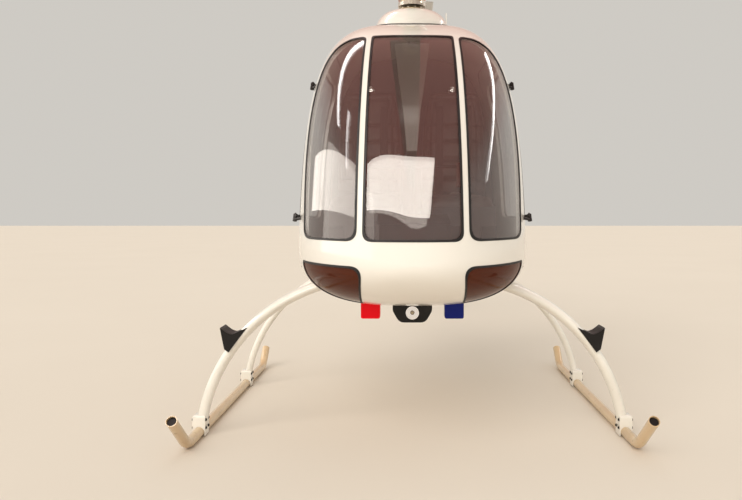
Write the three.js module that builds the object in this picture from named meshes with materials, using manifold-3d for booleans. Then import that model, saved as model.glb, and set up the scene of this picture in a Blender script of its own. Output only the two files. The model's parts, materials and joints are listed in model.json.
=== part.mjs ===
// A light two-seat helicopter: egg-shaped cabin with wrapped windows, skid gear, two-blade
// teetering rotor and a tail rotor inside a ring guard.
// Millimetres, nose towards -Y, aircraft's left towards +X, +Z up, skids resting on Z = 0.
import * as THREE from "three";
import { mergeVertices } from "three/addons/utils/BufferGeometryUtils.js";
import Module from "manifold-3d";

const wasm = await Module();
wasm.setup();

// Driving dimensions
const ROTOR_RADIUS = 3350;
const MAST_Y = -400;
const NOSE_LENGTH = 1300;
const TAIL_ROTOR_Y = MAST_Y + 3620;
const TAIL_END_Y = ROTOR_RADIUS - MAST_Y;
const ROOF_Z = 2038;
const BELLY_Z = 622;
const CABIN_HALF_WIDTH = 580;
const WALL = 22;
const GLASS = 5;
const SEAT_GAP = 0.4;
const DOOR_GAP = 6;
const FIREWALL_Y = 20;
const BOOM_Z = 1430;
const BOOM_ROOT_RADIUS = 70;
const SKID_X = 1005;
const SKID_RADIUS = 24;
const GEAR_Y = -150;
const BLADE_Z = 2370;

const NOSE_Y = MAST_Y - NOSE_LENGTH;
const NOSE_Z = 849;

// Materials: plain colours of the real finishes
const finish = (color, roughness, metalness) =>
  new THREE.MeshStandardMaterial({ color, roughness, metalness });
const WHITE = finish(0xf2eee4, 0.25, 0);
const CREAM = finish(0xe6dcc2, 0.35, 0);
const BLACK = finish(0x1a1a1c, 0.55, 0);
const TINT = finish(0x4a3a34, 0.1, 0);
const GREY = finish(0x8d8f90, 0.6, 0);
const STEEL = finish(0x9a9890, 0.35, 0.9);
const BLADE_GREY = finish(0xb9b8b0, 0.4, 0.1);
const TAN = finish(0x6b4a36, 0.7, 0);
const RED = finish(0xb3261c, 0.3, 0);
const BLUE = finish(0x2a4fae, 0.3, 0);

const part = new THREE.Group();

// A closed geometry as a solid that can be cut and joined.
function solid(geometry) {
  const bare = geometry.clone();
  bare.deleteAttribute("normal");
  bare.deleteAttribute("uv");
  const merged = mergeVertices(bare, 1e-3);
  return new wasm.Manifold(
    new wasm.Mesh({
      numProp: 3,
      vertProperties: new Float32Array(merged.attributes.position.array),
      triVerts: new Uint32Array(merged.index.array),
    }),
  );
}

// Adds a solid to the part as one named mesh.
function add(name, shape, material) {
  const mesh = shape.getMesh();
  const geometry = new THREE.BufferGeometry();
  geometry.setAttribute("position", new THREE.BufferAttribute(new Float32Array(mesh.vertProperties), 3));
  geometry.setIndex(new THREE.BufferAttribute(new Uint32Array(mesh.triVerts), 1));
  const node = new THREE.Mesh(geometry, material);
  node.name = name;
  part.add(node);
}

const join = (first, ...rest) => rest.reduce((a, b) => a.add(b), first);
const cut = (first, ...rest) => rest.reduce((a, b) => a.subtract(b), first);
const keep = (first, ...rest) => rest.reduce((a, b) => a.intersect(b), first);

// Closed skin over rings of equal point count; the first and last ring are capped.
function loft(rings) {
  const count = rings[0].length;
  const positions = rings.flat().flatMap((p) => [p.x, p.y, p.z]);
  const faces = [];
  for (let i = 0; i < rings.length - 1; i++) {
    for (let j = 0; j < count; j++) {
      const a = i * count + j;
      const b = i * count + ((j + 1) % count);
      faces.push(a, a + count, b, b, a + count, b + count);
    }
  }
  const last = (rings.length - 1) * count;
  for (let j = 1; j < count - 1; j++) {
    faces.push(0, j, j + 1, last, last + j + 1, last + j);
  }
  const geometry = new THREE.BufferGeometry();
  geometry.setAttribute("position", new THREE.Float32BufferAttribute(positions, 3));
  geometry.setIndex(faces);
  const made = solid(geometry);
  return made.volume() > 0 ? made : solid(geometry.setIndex(faces.reverse()));
}

// Elliptical section carried along a path: sizes(t) gives [half across, half along side].
function sweep(path, side, sizes, facets) {
  const rings = path.map((point, i) => {
    const before = path[Math.max(i - 1, 0)];
    const after = path[Math.min(i + 1, path.length - 1)];
    const along = after.clone().sub(before).normalize();
    const across = new THREE.Vector3().crossVectors(side, along).normalize();
    const [thick, wide] = sizes(i / (path.length - 1));
    return Array.from({ length: facets }, (_, j) => {
      const angle = (2 * Math.PI * j) / facets;
      return point
        .clone()
        .addScaledVector(across, thick * Math.cos(angle))
        .addScaledVector(side, wide * Math.sin(angle));
    });
  });
  return loft(rings);
}

// Straight round bar between two points.
function rod(from, to, radius, facets = 12, endRadius = radius) {
  const along = to.clone().sub(from);
  const bar = new THREE.CylinderGeometry(endRadius, radius, along.length(), facets);
  bar.translate(0, along.length() / 2, 0);
  const turn = new THREE.Quaternion().setFromUnitVectors(new THREE.Vector3(0, 1, 0), along.normalize());
  bar.applyQuaternion(turn);
  bar.translate(from.x, from.y, from.z);
  return solid(bar);
}

const at = (x, y, z) => new THREE.Vector3(x, y, z);

function box(low, high) {
  const block = new THREE.BoxGeometry(high[0] - low[0], high[1] - low[1], high[2] - low[2]);
  block.translate((low[0] + high[0]) / 2, (low[1] + high[1]) / 2, (low[2] + high[2]) / 2);
  return solid(block);
}

// Outline with rounded corners, given as [a, b, corner radius] rows.
function outline(corners) {
  const shape = new THREE.Shape();
  corners.forEach(([a, b, radius], i) => {
    const here = new THREE.Vector2(a, b);
    const from = new THREE.Vector2(...corners.at(i - 1).slice(0, 2)).sub(here).normalize();
    const to = new THREE.Vector2(...corners[(i + 1) % corners.length].slice(0, 2)).sub(here).normalize();
    const setback = radius ? radius / Math.tan(from.angleTo(to) / 2) : 0;
    const start = here.clone().addScaledVector(from, setback);
    const end = here.clone().addScaledVector(to, setback);
    if (i) shape.lineTo(start.x, start.y);
    else shape.moveTo(start.x, start.y);
    if (radius) shape.quadraticCurveTo(a, b, end.x, end.y);
  });
  shape.closePath();
  return shape;
}

// Prism of an outline: seen from the front (x, z) or from the side (y, z).
function prism(view, corners, from, to, curveSegments = 4) {
  const extruded = new THREE.ExtrudeGeometry(outline(corners), {
    depth: to - from,
    bevelEnabled: false,
    curveSegments,
  });
  const turn = {
    front: new THREE.Matrix4().set(1, 0, 0, 0, 0, 0, -1, to, 0, 1, 0, 0, 0, 0, 0, 1),
    side: new THREE.Matrix4().set(0, 0, 1, from, 1, 0, 0, 0, 0, 1, 0, 0, 0, 0, 0, 1),
  }[view];
  extruded.applyMatrix4(turn);
  return solid(extruded);
}

const mirror = (shape) => shape.mirror([1, 0, 0]);

// The fuselage skin: sections across Y whose top, bottom and half-width follow quarter curves
// from the nose to the widest frame and from there to the boom's root.
const ROOF_START_Y = -540;
const WIDEST_START_Y = -700;
const TAPER_START_Y = -400;
const BELLY_START_Y = -1050;
const COWL_END_Y = 900;
const WIDEST_Z = 896;
const SIDE_LEAN = 0.11;

const clamp = (u) => Math.min(Math.max(u, 0), 1);
const quarter = (u, power) => (1 - clamp(u) ** power) ** (1 / power);
const mix = (a, b, t) => a + (b - a) * t;

// Top, bottom, widest height, half-width and corner powers of the skin at y, moved in by inset.
function frameAt(y, inset) {
  const nose = NOSE_Y + inset;
  const span = (start) => (start - y) / (start - nose);
  const tail = clamp((y - TAPER_START_Y) / (COWL_END_Y - TAPER_START_Y));
  const fade = (power, root) => (1 - tail ** power) ** root;
  const roof = fade(2.6, 0.9);
  const low = fade(1.8, 0.75);
  const wide = fade(1.8, 0.9);
  const rise = quarter(span(ROOF_START_Y), 2.08);
  const drop = quarter(span(BELLY_START_Y), 1.9);
  const swell = quarter(span(WIDEST_START_Y), 2);
  const root = BOOM_ROOT_RADIUS - inset;
  return {
    top: mix(BOOM_Z + root, NOSE_Z + (ROOF_Z - inset - NOSE_Z) * rise, roof),
    bottom: mix(BOOM_Z - root, NOSE_Z - (NOSE_Z - BELLY_Z - inset) * drop, low),
    middle: mix(BOOM_Z, mix(NOSE_Z, WIDEST_Z, drop), low),
    half: mix(root, (CABIN_HALF_WIDTH - inset) * swell, wide),
    upper: mix(2, mix(2.2, 3.9, swell), wide),
    lower: mix(2, mix(2.2, 2.85, swell), wide),
    lean: SIDE_LEAN * wide,
  };
}

const SECTION_POINTS = 32;

function sectionRing(y, inset) {
  const f = frameAt(y, inset);
  return Array.from({ length: SECTION_POINTS }, (_, i) => {
    const angle = (2 * Math.PI * (i + 0.5)) / SECTION_POINTS;
    const c = Math.cos(angle);
    const s = Math.sin(angle);
    const power = s > 0 ? f.upper : f.lower;
    const reach = s > 0 ? f.top - f.middle : f.middle - f.bottom;
    const height = Math.sign(s) * Math.abs(s) ** (2 / power);
    const width = f.half * (1 - f.lean * Math.max(height, 0));
    return at(width * Math.sign(c) * Math.abs(c) ** (2 / power), y, f.middle + reach * height);
  });
}

// Fractions of the nose and tail lengths at which the skin has a section.
const NOSE_STEPS = [0.002, 0.02, 0.06, 0.12, 0.2, 0.3, 0.41, 0.53, 0.66, 0.8, 1];
const TAIL_STEPS = [0.22, 0.42, 0.6, 0.75, 0.87, 0.95, 1];

function skin(inset) {
  const nose = NOSE_Y + inset;
  const stations = [
    ...NOSE_STEPS.map((t) => mix(nose, ROOF_START_Y, t)),
    ...[0, ...TAIL_STEPS].map((t) => mix(TAPER_START_Y, COWL_END_Y, t)),
  ];
  return loft(stations.map((y) => sectionRing(y, inset)));
}

const outside = skin(0);
const inside = skin(WALL);
const glassOutside = skin(2);
const glassInside = skin(2 + GLASS);
const outsideClear = skin(-SEAT_GAP);

// Window and door outlines. The posts beside the centre pane lean in as they rise.
const POST_LOW_X = 215;
const POST_HIGH_X = 199;
const POST_HALF = 13;
const PANE_LOW_Z = 941;
const PANE_HIGH_Z = 1871;
const FAR = 900;
const AHEAD_Y = -1900;

const centrePane = (grow) => {
  const low = POST_LOW_X - POST_HALF + grow;
  const high = POST_HIGH_X - POST_HALF + grow;
  return prism(
    "front",
    [
      [-low, PANE_LOW_Z - grow, 40],
      [low, PANE_LOW_Z - grow, 40],
      [high, PANE_HIGH_Z + grow, 17],
      [-high, PANE_HIGH_Z + grow, 17],
    ],
    AHEAD_Y,
    -900,
  );
};

// Side pane: the front view gives its inner and foot corners, the side view its slanted aft edge.
const PANE_FOOT_X = 497.5;
const sidePane = (grow) =>
  keep(
    prism(
      "front",
      [
        [POST_LOW_X + POST_HALF - grow, PANE_LOW_Z - grow, 52],
        [PANE_FOOT_X + 0.3 * grow, PANE_LOW_Z - grow, 48],
        [PANE_FOOT_X + 3 + 0.3 * grow, PANE_LOW_Z + 200, 0],
        [FAR, PANE_LOW_Z + 260, 0],
        [FAR, PANE_HIGH_Z + grow, 0],
        [POST_HIGH_X + POST_HALF - grow, PANE_HIGH_Z + grow, 30],
      ],
      AHEAD_Y,
      -700,
    ),
    prism(
      "side",
      [
        [AHEAD_Y, PANE_LOW_Z - 40, 0],
        [-1205 + grow, PANE_LOW_Z - grow, 60],
        [-1000 + grow, PANE_HIGH_Z + grow, 110],
        [AHEAD_Y, PANE_HIGH_Z + 40, 0],
      ],
      10,
      FAR,
    ),
  );

const CHIN_TOP_Z = 838;
const CHIN_INNER_X = 207;
const CHIN_FOOT_X = 231;
const chinPane = (grow) =>
  keep(
    prism(
      "front",
      [
        [CHIN_FOOT_X - grow, 560, 0],
        [FAR, 560, 0],
        [FAR, CHIN_TOP_Z + grow, 0],
        [CHIN_INNER_X - grow, CHIN_TOP_Z + grow, 48],
      ],
      AHEAD_Y,
      -1000,
    ),
    prism(
      "side",
      [
        [AHEAD_Y, 560, 0],
        [-1200 + grow, 560, 0],
        [-1170 + grow, CHIN_TOP_Z + grow, 50],
        [AHEAD_Y, CHIN_TOP_Z + 40, 0],
      ],
      10,
      FAR,
    ),
  );

// Door opening: the front edge leans aft as it rises, along the hinge line.
const doorOutline = (shrink) =>
  prism(
    "side",
    [
      [-1135 + shrink, 795 + shrink, 60],
      [-130 - shrink, 795 + shrink, 90],
      [-130 - shrink, 1880 - shrink, 140],
      [-829 + shrink, 1880 - shrink, 50],
    ],
    120,
    FAR,
  );
const doorWindow = (grow) =>
  prism(
    "side",
    [
      [-1010 - grow, 1030 - grow, 45],
      [-205 + grow, 1030 - grow, 70],
      [-205 + grow, 1795 + grow, 110],
      [-792 - grow, 1795 + grow, 45],
    ],
    120,
    FAR,
  );

const both = (make) => {
  const left = make();
  return [left, mirror(left)];
};

// Cross tubes: straight through the belly, then an arc down to each skid.
const LEG_ARC_RADIUS = 817;
const LEG_ARC_X = 191;
const LEG_ARC_Z = -66;
const FOOT_ANGLE = 8;
const crossTubes = [
  { name: "cross_tube_front", y: GEAR_Y - 955, thick: 25, foot: 25, root: 56 },
  { name: "cross_tube_rear", y: GEAR_Y + 26, thick: 20, foot: 20, root: 26 },
];

function crossTube({ y, thick, foot, root }, grow) {
  const steps = 9;
  const half = Array.from({ length: steps + 1 }, (_, i) => {
    const angle = THREE.MathUtils.degToRad(mix(90, FOOT_ANGLE, i / steps));
    return at(LEG_ARC_X + LEG_ARC_RADIUS * Math.cos(angle), y, LEG_ARC_Z + LEG_ARC_RADIUS * Math.sin(angle));
  });
  const path = [...half.slice().reverse().map((p) => at(-p.x, p.y, p.z)), ...half];
  const sizes = (t) => {
    const towardsFoot = Math.abs(2 * t - 1);
    const taper = THREE.MathUtils.smoothstep(towardsFoot, 0.45, 0.95);
    return [thick + grow, mix(root, foot, taper) + grow];
  };
  return sweep(path, at(0, 1, 0), sizes, 12);
}

const tubeHoles = crossTubes.map((tube) => crossTube(tube, SEAT_GAP));

// Door hinges: two outside knuckles on each side, whose line leans aft and inboard as it rises
const HINGE_LOW = at(559, -1060, 1033);
const HINGE_HIGH = at(498, -875, 1688);
const hingeLine = HINGE_HIGH.clone().sub(HINGE_LOW).normalize();
const onHinge = (origin, distance) => origin.clone().addScaledVector(hingeLine, distance);
const hingeOrigins = [HINGE_LOW, HINGE_HIGH];
const knuckles = hingeOrigins.map((origin) =>
  join(
    rod(onHinge(origin, -18), origin, 10, 12),
    rod(onHinge(origin, -2), onHinge(origin, 20), 4, 12),
    rod(onHinge(origin, -9), onHinge(origin, -9).add(at(-40, -36, 6)), 8, 8),
  ),
);

// Cabin shell and engine cowl: one skin split at the firewall
const shellBand = cut(outside, inside);
const cabinHalf = box([-FAR, AHEAD_Y, 0], [FAR, FIREWALL_Y - SEAT_GAP, 2500]);
const cowlHalf = box([-FAR, FIREWALL_Y + SEAT_GAP, 0], [FAR, COWL_END_Y + 50, 2500]);
const DOME_Y = MAST_Y + 20;
const mastHole = rod(at(0, MAST_Y, 1900), at(0, MAST_Y, 2200), 34, 20);

add(
  "cabin_shell",
  join(
    cut(
      keep(shellBand, cabinHalf),
      centrePane(0),
      ...both(() => sidePane(0)),
      ...both(() => chinPane(0)),
      ...both(() => doorOutline(0)),
      ...tubeHoles,
      mastHole,
    ),
    ...knuckles,
    ...knuckles.map(mirror),
  ),
  WHITE,
);

// Tail boom: a round tube out of the cowl, tapering towards the tail rotor
const BOOM_START_Y = COWL_END_Y - 280;
const boomStations = [
  { y: BOOM_START_Y, radius: 60 },
  { y: COWL_END_Y + 60, radius: 60 },
  { y: TAIL_ROTOR_Y - 60, radius: 40 },
  { y: TAIL_END_Y, radius: 34 },
];
const boom = (grow) =>
  sweep(
    boomStations.map(({ y }) => at(0, y, BOOM_Z)),
    at(1, 0, 0),
    (t) => Array(2).fill(boomStations[Math.round(t * (boomStations.length - 1))].radius + grow),
    20,
  );
const boomClear = boom(SEAT_GAP);

// Louvred openings in the cowl's sides: slats set a little below the paint, fused to the cowl
const louvres = [
  { y: 130, z: 1150, length: 300, height: 190, slats: 4 },
  { y: 170, z: 905, length: 150, height: 70, slats: 2 },
];
const louvreSlope = 0.16;
const louvreOutline = ({ y, z, length, height }) =>
  prism(
    "side",
    [
      [y, z, 4],
      [y + length, z + louvreSlope * length, 4],
      [y + length, z + louvreSlope * length + height, 4],
      [y, z + height, 4],
    ],
    -FAR,
    FAR,
  );
const slatBand = cut(skin(5), skin(15));
const slats = louvres.flatMap((louvre) => {
  const spacing = louvre.height / (louvre.slats + 0.5);
  return Array.from({ length: louvre.slats }, (_, i) => {
    const start = louvre.y - 6;
    const low = louvre.z - 6 * louvreSlope + spacing * (i + 0.5);
    const slat = { y: start, z: low, length: louvre.length + 12, height: spacing * 0.5 };
    return keep(slatBand, louvreOutline(slat));
  });
});

const EXHAUST = { x: -150, y: 330, radius: 26 };
add(
  "engine_cowl",
  join(
    cut(
      keep(shellBand, cowlHalf),
      ...tubeHoles,
      ...louvres.map(louvreOutline),
      boomClear,
      rod(at(EXHAUST.x, EXHAUST.y, 600), at(EXHAUST.x, EXHAUST.y, 920), EXHAUST.radius + 8, 20),
    ),
    ...slats,
  ),
  WHITE,
);

// Glass panes: each fills its opening, set just below the paint
const glassBand = cut(glassOutside, glassInside);
add("windshield_centre", keep(glassBand, centrePane(-SEAT_GAP)), TINT);
["left", "right"].forEach((hand, i) => {
  add(`windshield_${hand}`, keep(glassBand, both(() => sidePane(-SEAT_GAP))[i]), TINT);
  add(`chin_window_${hand}`, keep(glassBand, both(() => chinPane(-SEAT_GAP))[i]), TINT);
});

// Doors: each panel carries the eyes that turn on the knuckles' pins
const doorPanel = cut(keep(shellBand, doorOutline(DOOR_GAP)), doorWindow(0));
const eyes = hingeOrigins.map((origin) =>
  join(
    rod(onHinge(origin, 1), onHinge(origin, 19), 10, 12),
    rod(onHinge(origin, 10), onHinge(origin, 10).add(at(-26, 42, -4)), 8, 8),
  ),
);
const pinHoles = hingeOrigins.map((origin) => rod(onHinge(origin, -5), onHinge(origin, 25), 5, 12));
const door = cut(join(doorPanel, ...eyes), ...pinHoles);

["left", "right"].forEach((hand, i) => {
  add(`door_${hand}`, both(() => door)[i], WHITE);
  add(`door_glass_${hand}`, keep(glassBand, both(() => doorWindow(-SEAT_GAP))[i]), TINT);
});

// Mast fairing: a low dome on the roof with a hole for the mast
const DOME_HALF_WIDTH = 204;
const DOME_SLOPE = 0.07;
const domeRing = (scale, z) =>
  Array.from({ length: 28 }, (_, j) => {
    const angle = (2 * Math.PI * j) / 28;
    const ahead = Math.min(Math.sin(angle), 0) * 265 * scale;
    const behind = Math.max(Math.sin(angle), 0) * 360 * scale;
    const y = DOME_Y + ahead + behind;
    return at(DOME_HALF_WIDTH * scale * Math.cos(angle), y, z + DOME_SLOPE * (ahead - 0.5 * behind));
  });
const domeLevels = [
  [1, 1990],
  [1, 2098],
  [0.96, 2122],
  [0.88, 2148],
  [0.74, 2172],
  [0.44, 2187],
];
const domeSolid = loft(domeLevels.map(([scale, z]) => domeRing(scale, z)));

// Mast tower: a short cone that stands in the dome, around the mast
const TOWER = { radius: 84, topRadius: 60, footZ: 2140, shoulderZ: 2192, topZ: 2206 };
const towerHole = rod(at(0, MAST_Y, TOWER.footZ), at(0, MAST_Y, 2260), TOWER.radius + SEAT_GAP, 32);
add("mast_fairing", cut(domeSolid, outsideClear, mastHole, towerHole), WHITE);
add(
  "mast_tower",
  cut(
    join(
      rod(at(0, MAST_Y, TOWER.footZ + SEAT_GAP), at(0, MAST_Y, TOWER.shoulderZ), TOWER.radius, 32),
      rod(
        at(0, MAST_Y, TOWER.shoulderZ - 1),
        at(0, MAST_Y, TOWER.topZ),
        TOWER.radius,
        32,
        TOWER.topRadius,
      ),
    ),
    rod(at(0, MAST_Y, 2100), at(0, MAST_Y, 2260), 34, 20),
  ),
  STEEL,
);

// Cabin inside: floor, rear bulkhead, mast column, seats, console and controls
const FLOOR_Z = 800;
const BULKHEAD_Y = -60;
const insideClear = skin(WALL + SEAT_GAP);
add("cabin_floor", keep(insideClear, box([-FAR, -1600, FLOOR_Z - 18], [FAR, BULKHEAD_Y, FLOOR_Z])), GREY);
const ENGINE = { half: 225, frontY: 60, rearY: 400, lowZ: 930, highZ: 1250 };
const bearers = [-180, 180].flatMap((x) =>
  [ENGINE.lowZ + 60, ENGINE.highZ - 60].map((z) =>
    rod(at(x, BULKHEAD_Y + 8, z), at(x, ENGINE.frontY - SEAT_GAP, z), 14, 10),
  ),
);
add(
  "rear_bulkhead",
  join(keep(insideClear, box([-FAR, BULKHEAD_Y + SEAT_GAP, 0], [FAR, BULKHEAD_Y + 16, 2500])), ...bearers),
  GREY,
);
const COLUMN_TOP_Z = 1994;
add(
  "mast_column",
  loft(
    [
      [96, COLUMN_TOP_Z],
      [72, 1790],
      [48, 1630],
      [28, FLOOR_Z + 600],
    ].map(([half, z]) => [
      at(half, BULKHEAD_Y - SEAT_GAP, z),
      at(-half, BULKHEAD_Y - SEAT_GAP, z),
      at(-half, MAST_Y - 75, z),
      at(half, MAST_Y - 75, z),
    ]),
  ),
  GREY,
);

const seats = [
  { name: "seat_left", x: 250 },
  { name: "seat_right", x: -250 },
];
const SEAT_HALF = 196;
const SEAT_TOP_Z = 1795;
const seatSide = (x) =>
  prism(
    "side",
    [
      [-690, FLOOR_Z + SEAT_GAP, 0],
      [BULKHEAD_Y - SEAT_GAP, FLOOR_Z + SEAT_GAP, 0],
      [BULKHEAD_Y - SEAT_GAP, SEAT_TOP_Z, 24],
      [BULKHEAD_Y - 88, SEAT_TOP_Z, 30],
      [-235, 1130, 40],
      [-690, 1165, 50],
    ],
    x - SEAT_HALF,
    x + SEAT_HALF,
  );
const seatFront = prism(
  "front",
  [
    [54, 700, 0],
    [446, 700, 0],
    [446, 1540, 20],
    [392, SEAT_TOP_Z, 70],
    [106, SEAT_TOP_Z, 50],
    [54, 1490, 20],
  ],
  -900,
  0,
  6,
);
for (const { name, x } of seats) {
  add(name, keep(seatSide(x), x > 0 ? seatFront : mirror(seatFront)), TAN);
}

add(
  "instrument_console",
  keep(
    insideClear,
    prism(
      "side",
      [
        [-1640, FLOOR_Z + SEAT_GAP, 0],
        [-1262, FLOOR_Z + SEAT_GAP, 0],
        [-1290, 1010, 20],
        [-1360, 1050, 30],
        [-1640, 1010, 0],
      ],
      -150,
      150,
    ),
  ),
  BLACK,
);

// Controls: cyclic stick between the seats, collective levers, pedals
const CYCLIC_Y = -860;
add(
  "cyclic_stick",
  join(
    rod(at(0, CYCLIC_Y, FLOOR_Z + SEAT_GAP), at(0, CYCLIC_Y, FLOOR_Z + 40), 32, 12),
    rod(at(0, CYCLIC_Y, FLOOR_Z + 30), at(0, CYCLIC_Y + 20, 1290), 12, 10),
    rod(at(-240, CYCLIC_Y + 20, 1290), at(240, CYCLIC_Y + 20, 1290), 10, 10),
    rod(at(-240, CYCLIC_Y + 20, 1290), at(-240, CYCLIC_Y + 5, 1180), 15, 10),
    rod(at(240, CYCLIC_Y + 20, 1290), at(240, CYCLIC_Y + 5, 1180), 15, 10),
  ),
  BLACK,
);
add(
  "collective_lever",
  join(
    rod(at(0, -300, FLOOR_Z + SEAT_GAP), at(0, -300, FLOOR_Z + 60), 26, 12),
    rod(at(0, -300, FLOOR_Z + 45), at(0, -690, FLOOR_Z + 270), 12, 10),
    rod(at(0, -600, FLOOR_Z + 218), at(0, -720, FLOOR_Z + 287), 17, 10),
  ),
  BLACK,
);
const PEDAL_Y = -1225;
const pedalShaftZ = FLOOR_Z + 60;
const pedalPads = [-342, -182, 182, 342].map((x) =>
  join(
    rod(at(x, PEDAL_Y, pedalShaftZ), at(x, PEDAL_Y - 18, 950), 10, 8),
    box([x - 36, PEDAL_Y - 34, 905], [x + 36, PEDAL_Y - 12, 995]),
  ),
);
const pedalFeet = [-262, 262].map((x) =>
  box([x - 20, PEDAL_Y - 20, FLOOR_Z + SEAT_GAP], [x + 20, PEDAL_Y + 20, pedalShaftZ]),
);
add(
  "pedals",
  join(rod(at(-380, PEDAL_Y, pedalShaftZ), at(380, PEDAL_Y, pedalShaftZ), 11, 8), ...pedalPads, ...pedalFeet),
  BLACK,
);

// Engine: one plain block behind the firewall, on the belly of the cowl
add(
  "engine_block",
  box([-ENGINE.half, ENGINE.frontY, ENGINE.lowZ], [ENGINE.half, ENGINE.rearY, ENGINE.highZ]),
  GREY,
);

// Exhaust: down out of the engine, through the belly and bent aft, with an open end
const exhaustPath = [
  [0, ENGINE.lowZ - SEAT_GAP],
  [0, 830],
  [8, 800],
  [32, 772],
  [70, 756],
  [110, 750],
  [150, 746],
].map(([aft, z]) => at(EXHAUST.x, EXHAUST.y + aft, z));
const round = (radius) => () => [radius, radius];
add(
  "exhaust_pipe",
  cut(
    sweep(exhaustPath, at(1, 0, 0), round(EXHAUST.radius), 16),
    rod(exhaustPath[5], exhaustPath[6].clone().add(at(0, 10, -1)), EXHAUST.radius - 3, 16),
  ),
  STEEL,
);

// Landing gear
const skidBends = { frontY: GEAR_Y - 1173, rearY: GEAR_Y + 503 };
function skidPath(endTrim) {
  const rise = (from, length, height, direction) => {
    const radius = 150;
    const angle = Math.atan2(height, length);
    const tangent = radius * Math.tan(angle / 2);
    const arc = Array.from({ length: 5 }, (_, i) => {
      const a = (angle * i) / 4;
      const y = from - direction * (tangent - radius * Math.sin(a));
      return at(SKID_X, y, SKID_RADIUS + radius * (1 - Math.cos(a)));
    });
    const tip = at(SKID_X, from + direction * length, SKID_RADIUS + height);
    return [...arc, tip.clone().lerp(arc[4], endTrim / arc[4].distanceTo(tip))];
  };
  const front = rise(skidBends.frontY, 203, 164, -1);
  const rear = rise(skidBends.rearY, 108, 101, 1);
  return [...front.reverse(), ...rear];
}
const SKID_WALL = 3;
const skidBore = (points) => sweep(points, at(1, 0, 0), round(SKID_RADIUS - SKID_WALL), 12);
const skidTube = cut(
  sweep(skidPath(0), at(1, 0, 0), round(SKID_RADIUS), 12),
  skidBore(skidPath(-5).slice(0, 2)),
  skidBore(skidPath(-5).slice(-2)),
);
const SADDLE_HALF = { x: 30, y: 34 };
const saddle = (y) => {
  const reach = SKID_RADIUS + SEAT_GAP;
  const tubeLine = [at(SKID_X, y - 60, SKID_RADIUS), at(SKID_X, y + 60, SKID_RADIUS)];
  return cut(
    box([SKID_X - SADDLE_HALF.x, y - SADDLE_HALF.y, 6], [SKID_X + SADDLE_HALF.x, y + SADDLE_HALF.y, 104]),
    sweep(tubeLine, at(1, 0, 0), round(reach), 12),
    box([SKID_X - reach, y - 60, 0], [SKID_X + reach, y + 60, SKID_RADIUS]),
  );
};
const FOOT_CUT_Z = SKID_RADIUS * 2 + 4;
const footTrim = (shape) => cut(shape, box([-1200, -1400, -100], [1200, 400, FOOT_CUT_Z]));
for (const tube of crossTubes) {
  add(tube.name, footTrim(crossTube(tube, 0)), WHITE);
}
["left", "right"].forEach((hand, i) => {
  add(`skid_${hand}`, both(() => skidTube)[i], CREAM);
  crossTubes.forEach((tube, k) => {
    const clamp = cut(saddle(tube.y), footTrim(tubeHoles[k]));
    add(`saddle_${tube.name.split("_").at(-1)}_${hand}`, both(() => clamp)[i], BLACK);
  });
});

// Boarding steps: a dished tread on a triangular gusset outside each front leg
const step = cut(
  prism(
    "front",
    [
      [770, 522, 0],
      [858, 404, 0],
      [878, 420, 4],
      [898, 521, 3],
      [842, 486, 8],
    ],
    crossTubes[0].y - 55,
    crossTubes[0].y + 55,
  ),
  crossTube(crossTubes[0], 3 * SEAT_GAP),
);
["left", "right"].forEach((hand, i) => {
  const pieces = step.decompose().sort((a, b) => b.volume() - a.volume());
  add(`boarding_step_${hand}`, both(() => pieces[0])[i], BLACK);
});

// Lamps under the nose
const LAMP_Y = -1020;
const LAMP = { x: 201, half: 46, lowZ: 548, length: 70 };
const lampBox = (x) =>
  cut(
    prism(
      "front",
      [
        [x - LAMP.half, LAMP.lowZ, 10],
        [x + LAMP.half, LAMP.lowZ, 10],
        [x + LAMP.half, 700, 0],
        [x - LAMP.half, 700, 0],
      ],
      LAMP_Y - LAMP.length / 2,
      LAMP_Y + LAMP.length / 2,
    ),
    outsideClear,
  );
add("belly_lamp_red", lampBox(-LAMP.x), RED);
add("belly_lamp_blue", lampBox(LAMP.x), BLUE);
const LIGHT_Z = 579;
const LIGHT_RADIUS = 34;
const lightBack = LAMP_Y - 20;
const lightAxis = (fromY, toY, radius) => rod(at(0, fromY, LIGHT_Z), at(0, toY, LIGHT_Z), radius, 20);
const lightBowl = [
  [-62, 533, 40],
  [62, 533, 40],
  [94, 588, 40],
  [94, 700, 0],
  [-94, 700, 0],
  [-94, 588, 40],
];
const lightHousing = cut(
  prism("front", lightBowl, LAMP_Y - 60, LAMP_Y + 70),
  outsideClear,
  lightAxis(LAMP_Y - 70, lightBack, LIGHT_RADIUS),
);
add("landing_light_housing", lightHousing, BLACK);
const lightFront = LAMP_Y - 58;
add("landing_light", lightAxis(lightFront, lightBack - SEAT_GAP, LIGHT_RADIUS - SEAT_GAP), STEEL);

// Rotor head
const mastTop = BLADE_Z - 22 - SEAT_GAP;
const SWASH_Z = 2212;
const ARM_X = 88;
const ARM_Y = 140;
const pitchLinks = [-1, 1].map((s) =>
  rod(at(-s * 60, MAST_Y + s * 40, SWASH_Z + 10), at(-s * ARM_X, MAST_Y + s * ARM_Y, BLADE_Z - 18), 7, 8),
);
add(
  "rotor_mast",
  join(
    rod(at(0, MAST_Y, COLUMN_TOP_Z + SEAT_GAP), at(0, MAST_Y, mastTop), 24, 16),
    rod(at(0, MAST_Y, SWASH_Z), at(0, MAST_Y, SWASH_Z + 20), 78, 20),
    ...pitchLinks,
  ),
  STEEL,
);
const grip = (s) =>
  join(
    box([-42, Math.min(0, s * 70), -22], [42, Math.max(0, s * 70), 22]),
    box([-48, Math.min(s * 60, s * 430), -18], [48, Math.max(s * 60, s * 430), 18]),
    box(
      [Math.min(0, -s * 100), s * ARM_Y - 20, -12],
      [Math.max(0, -s * 100), s * ARM_Y + 20, 12],
    ),
  ).translate(0, MAST_Y, BLADE_Z);
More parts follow.
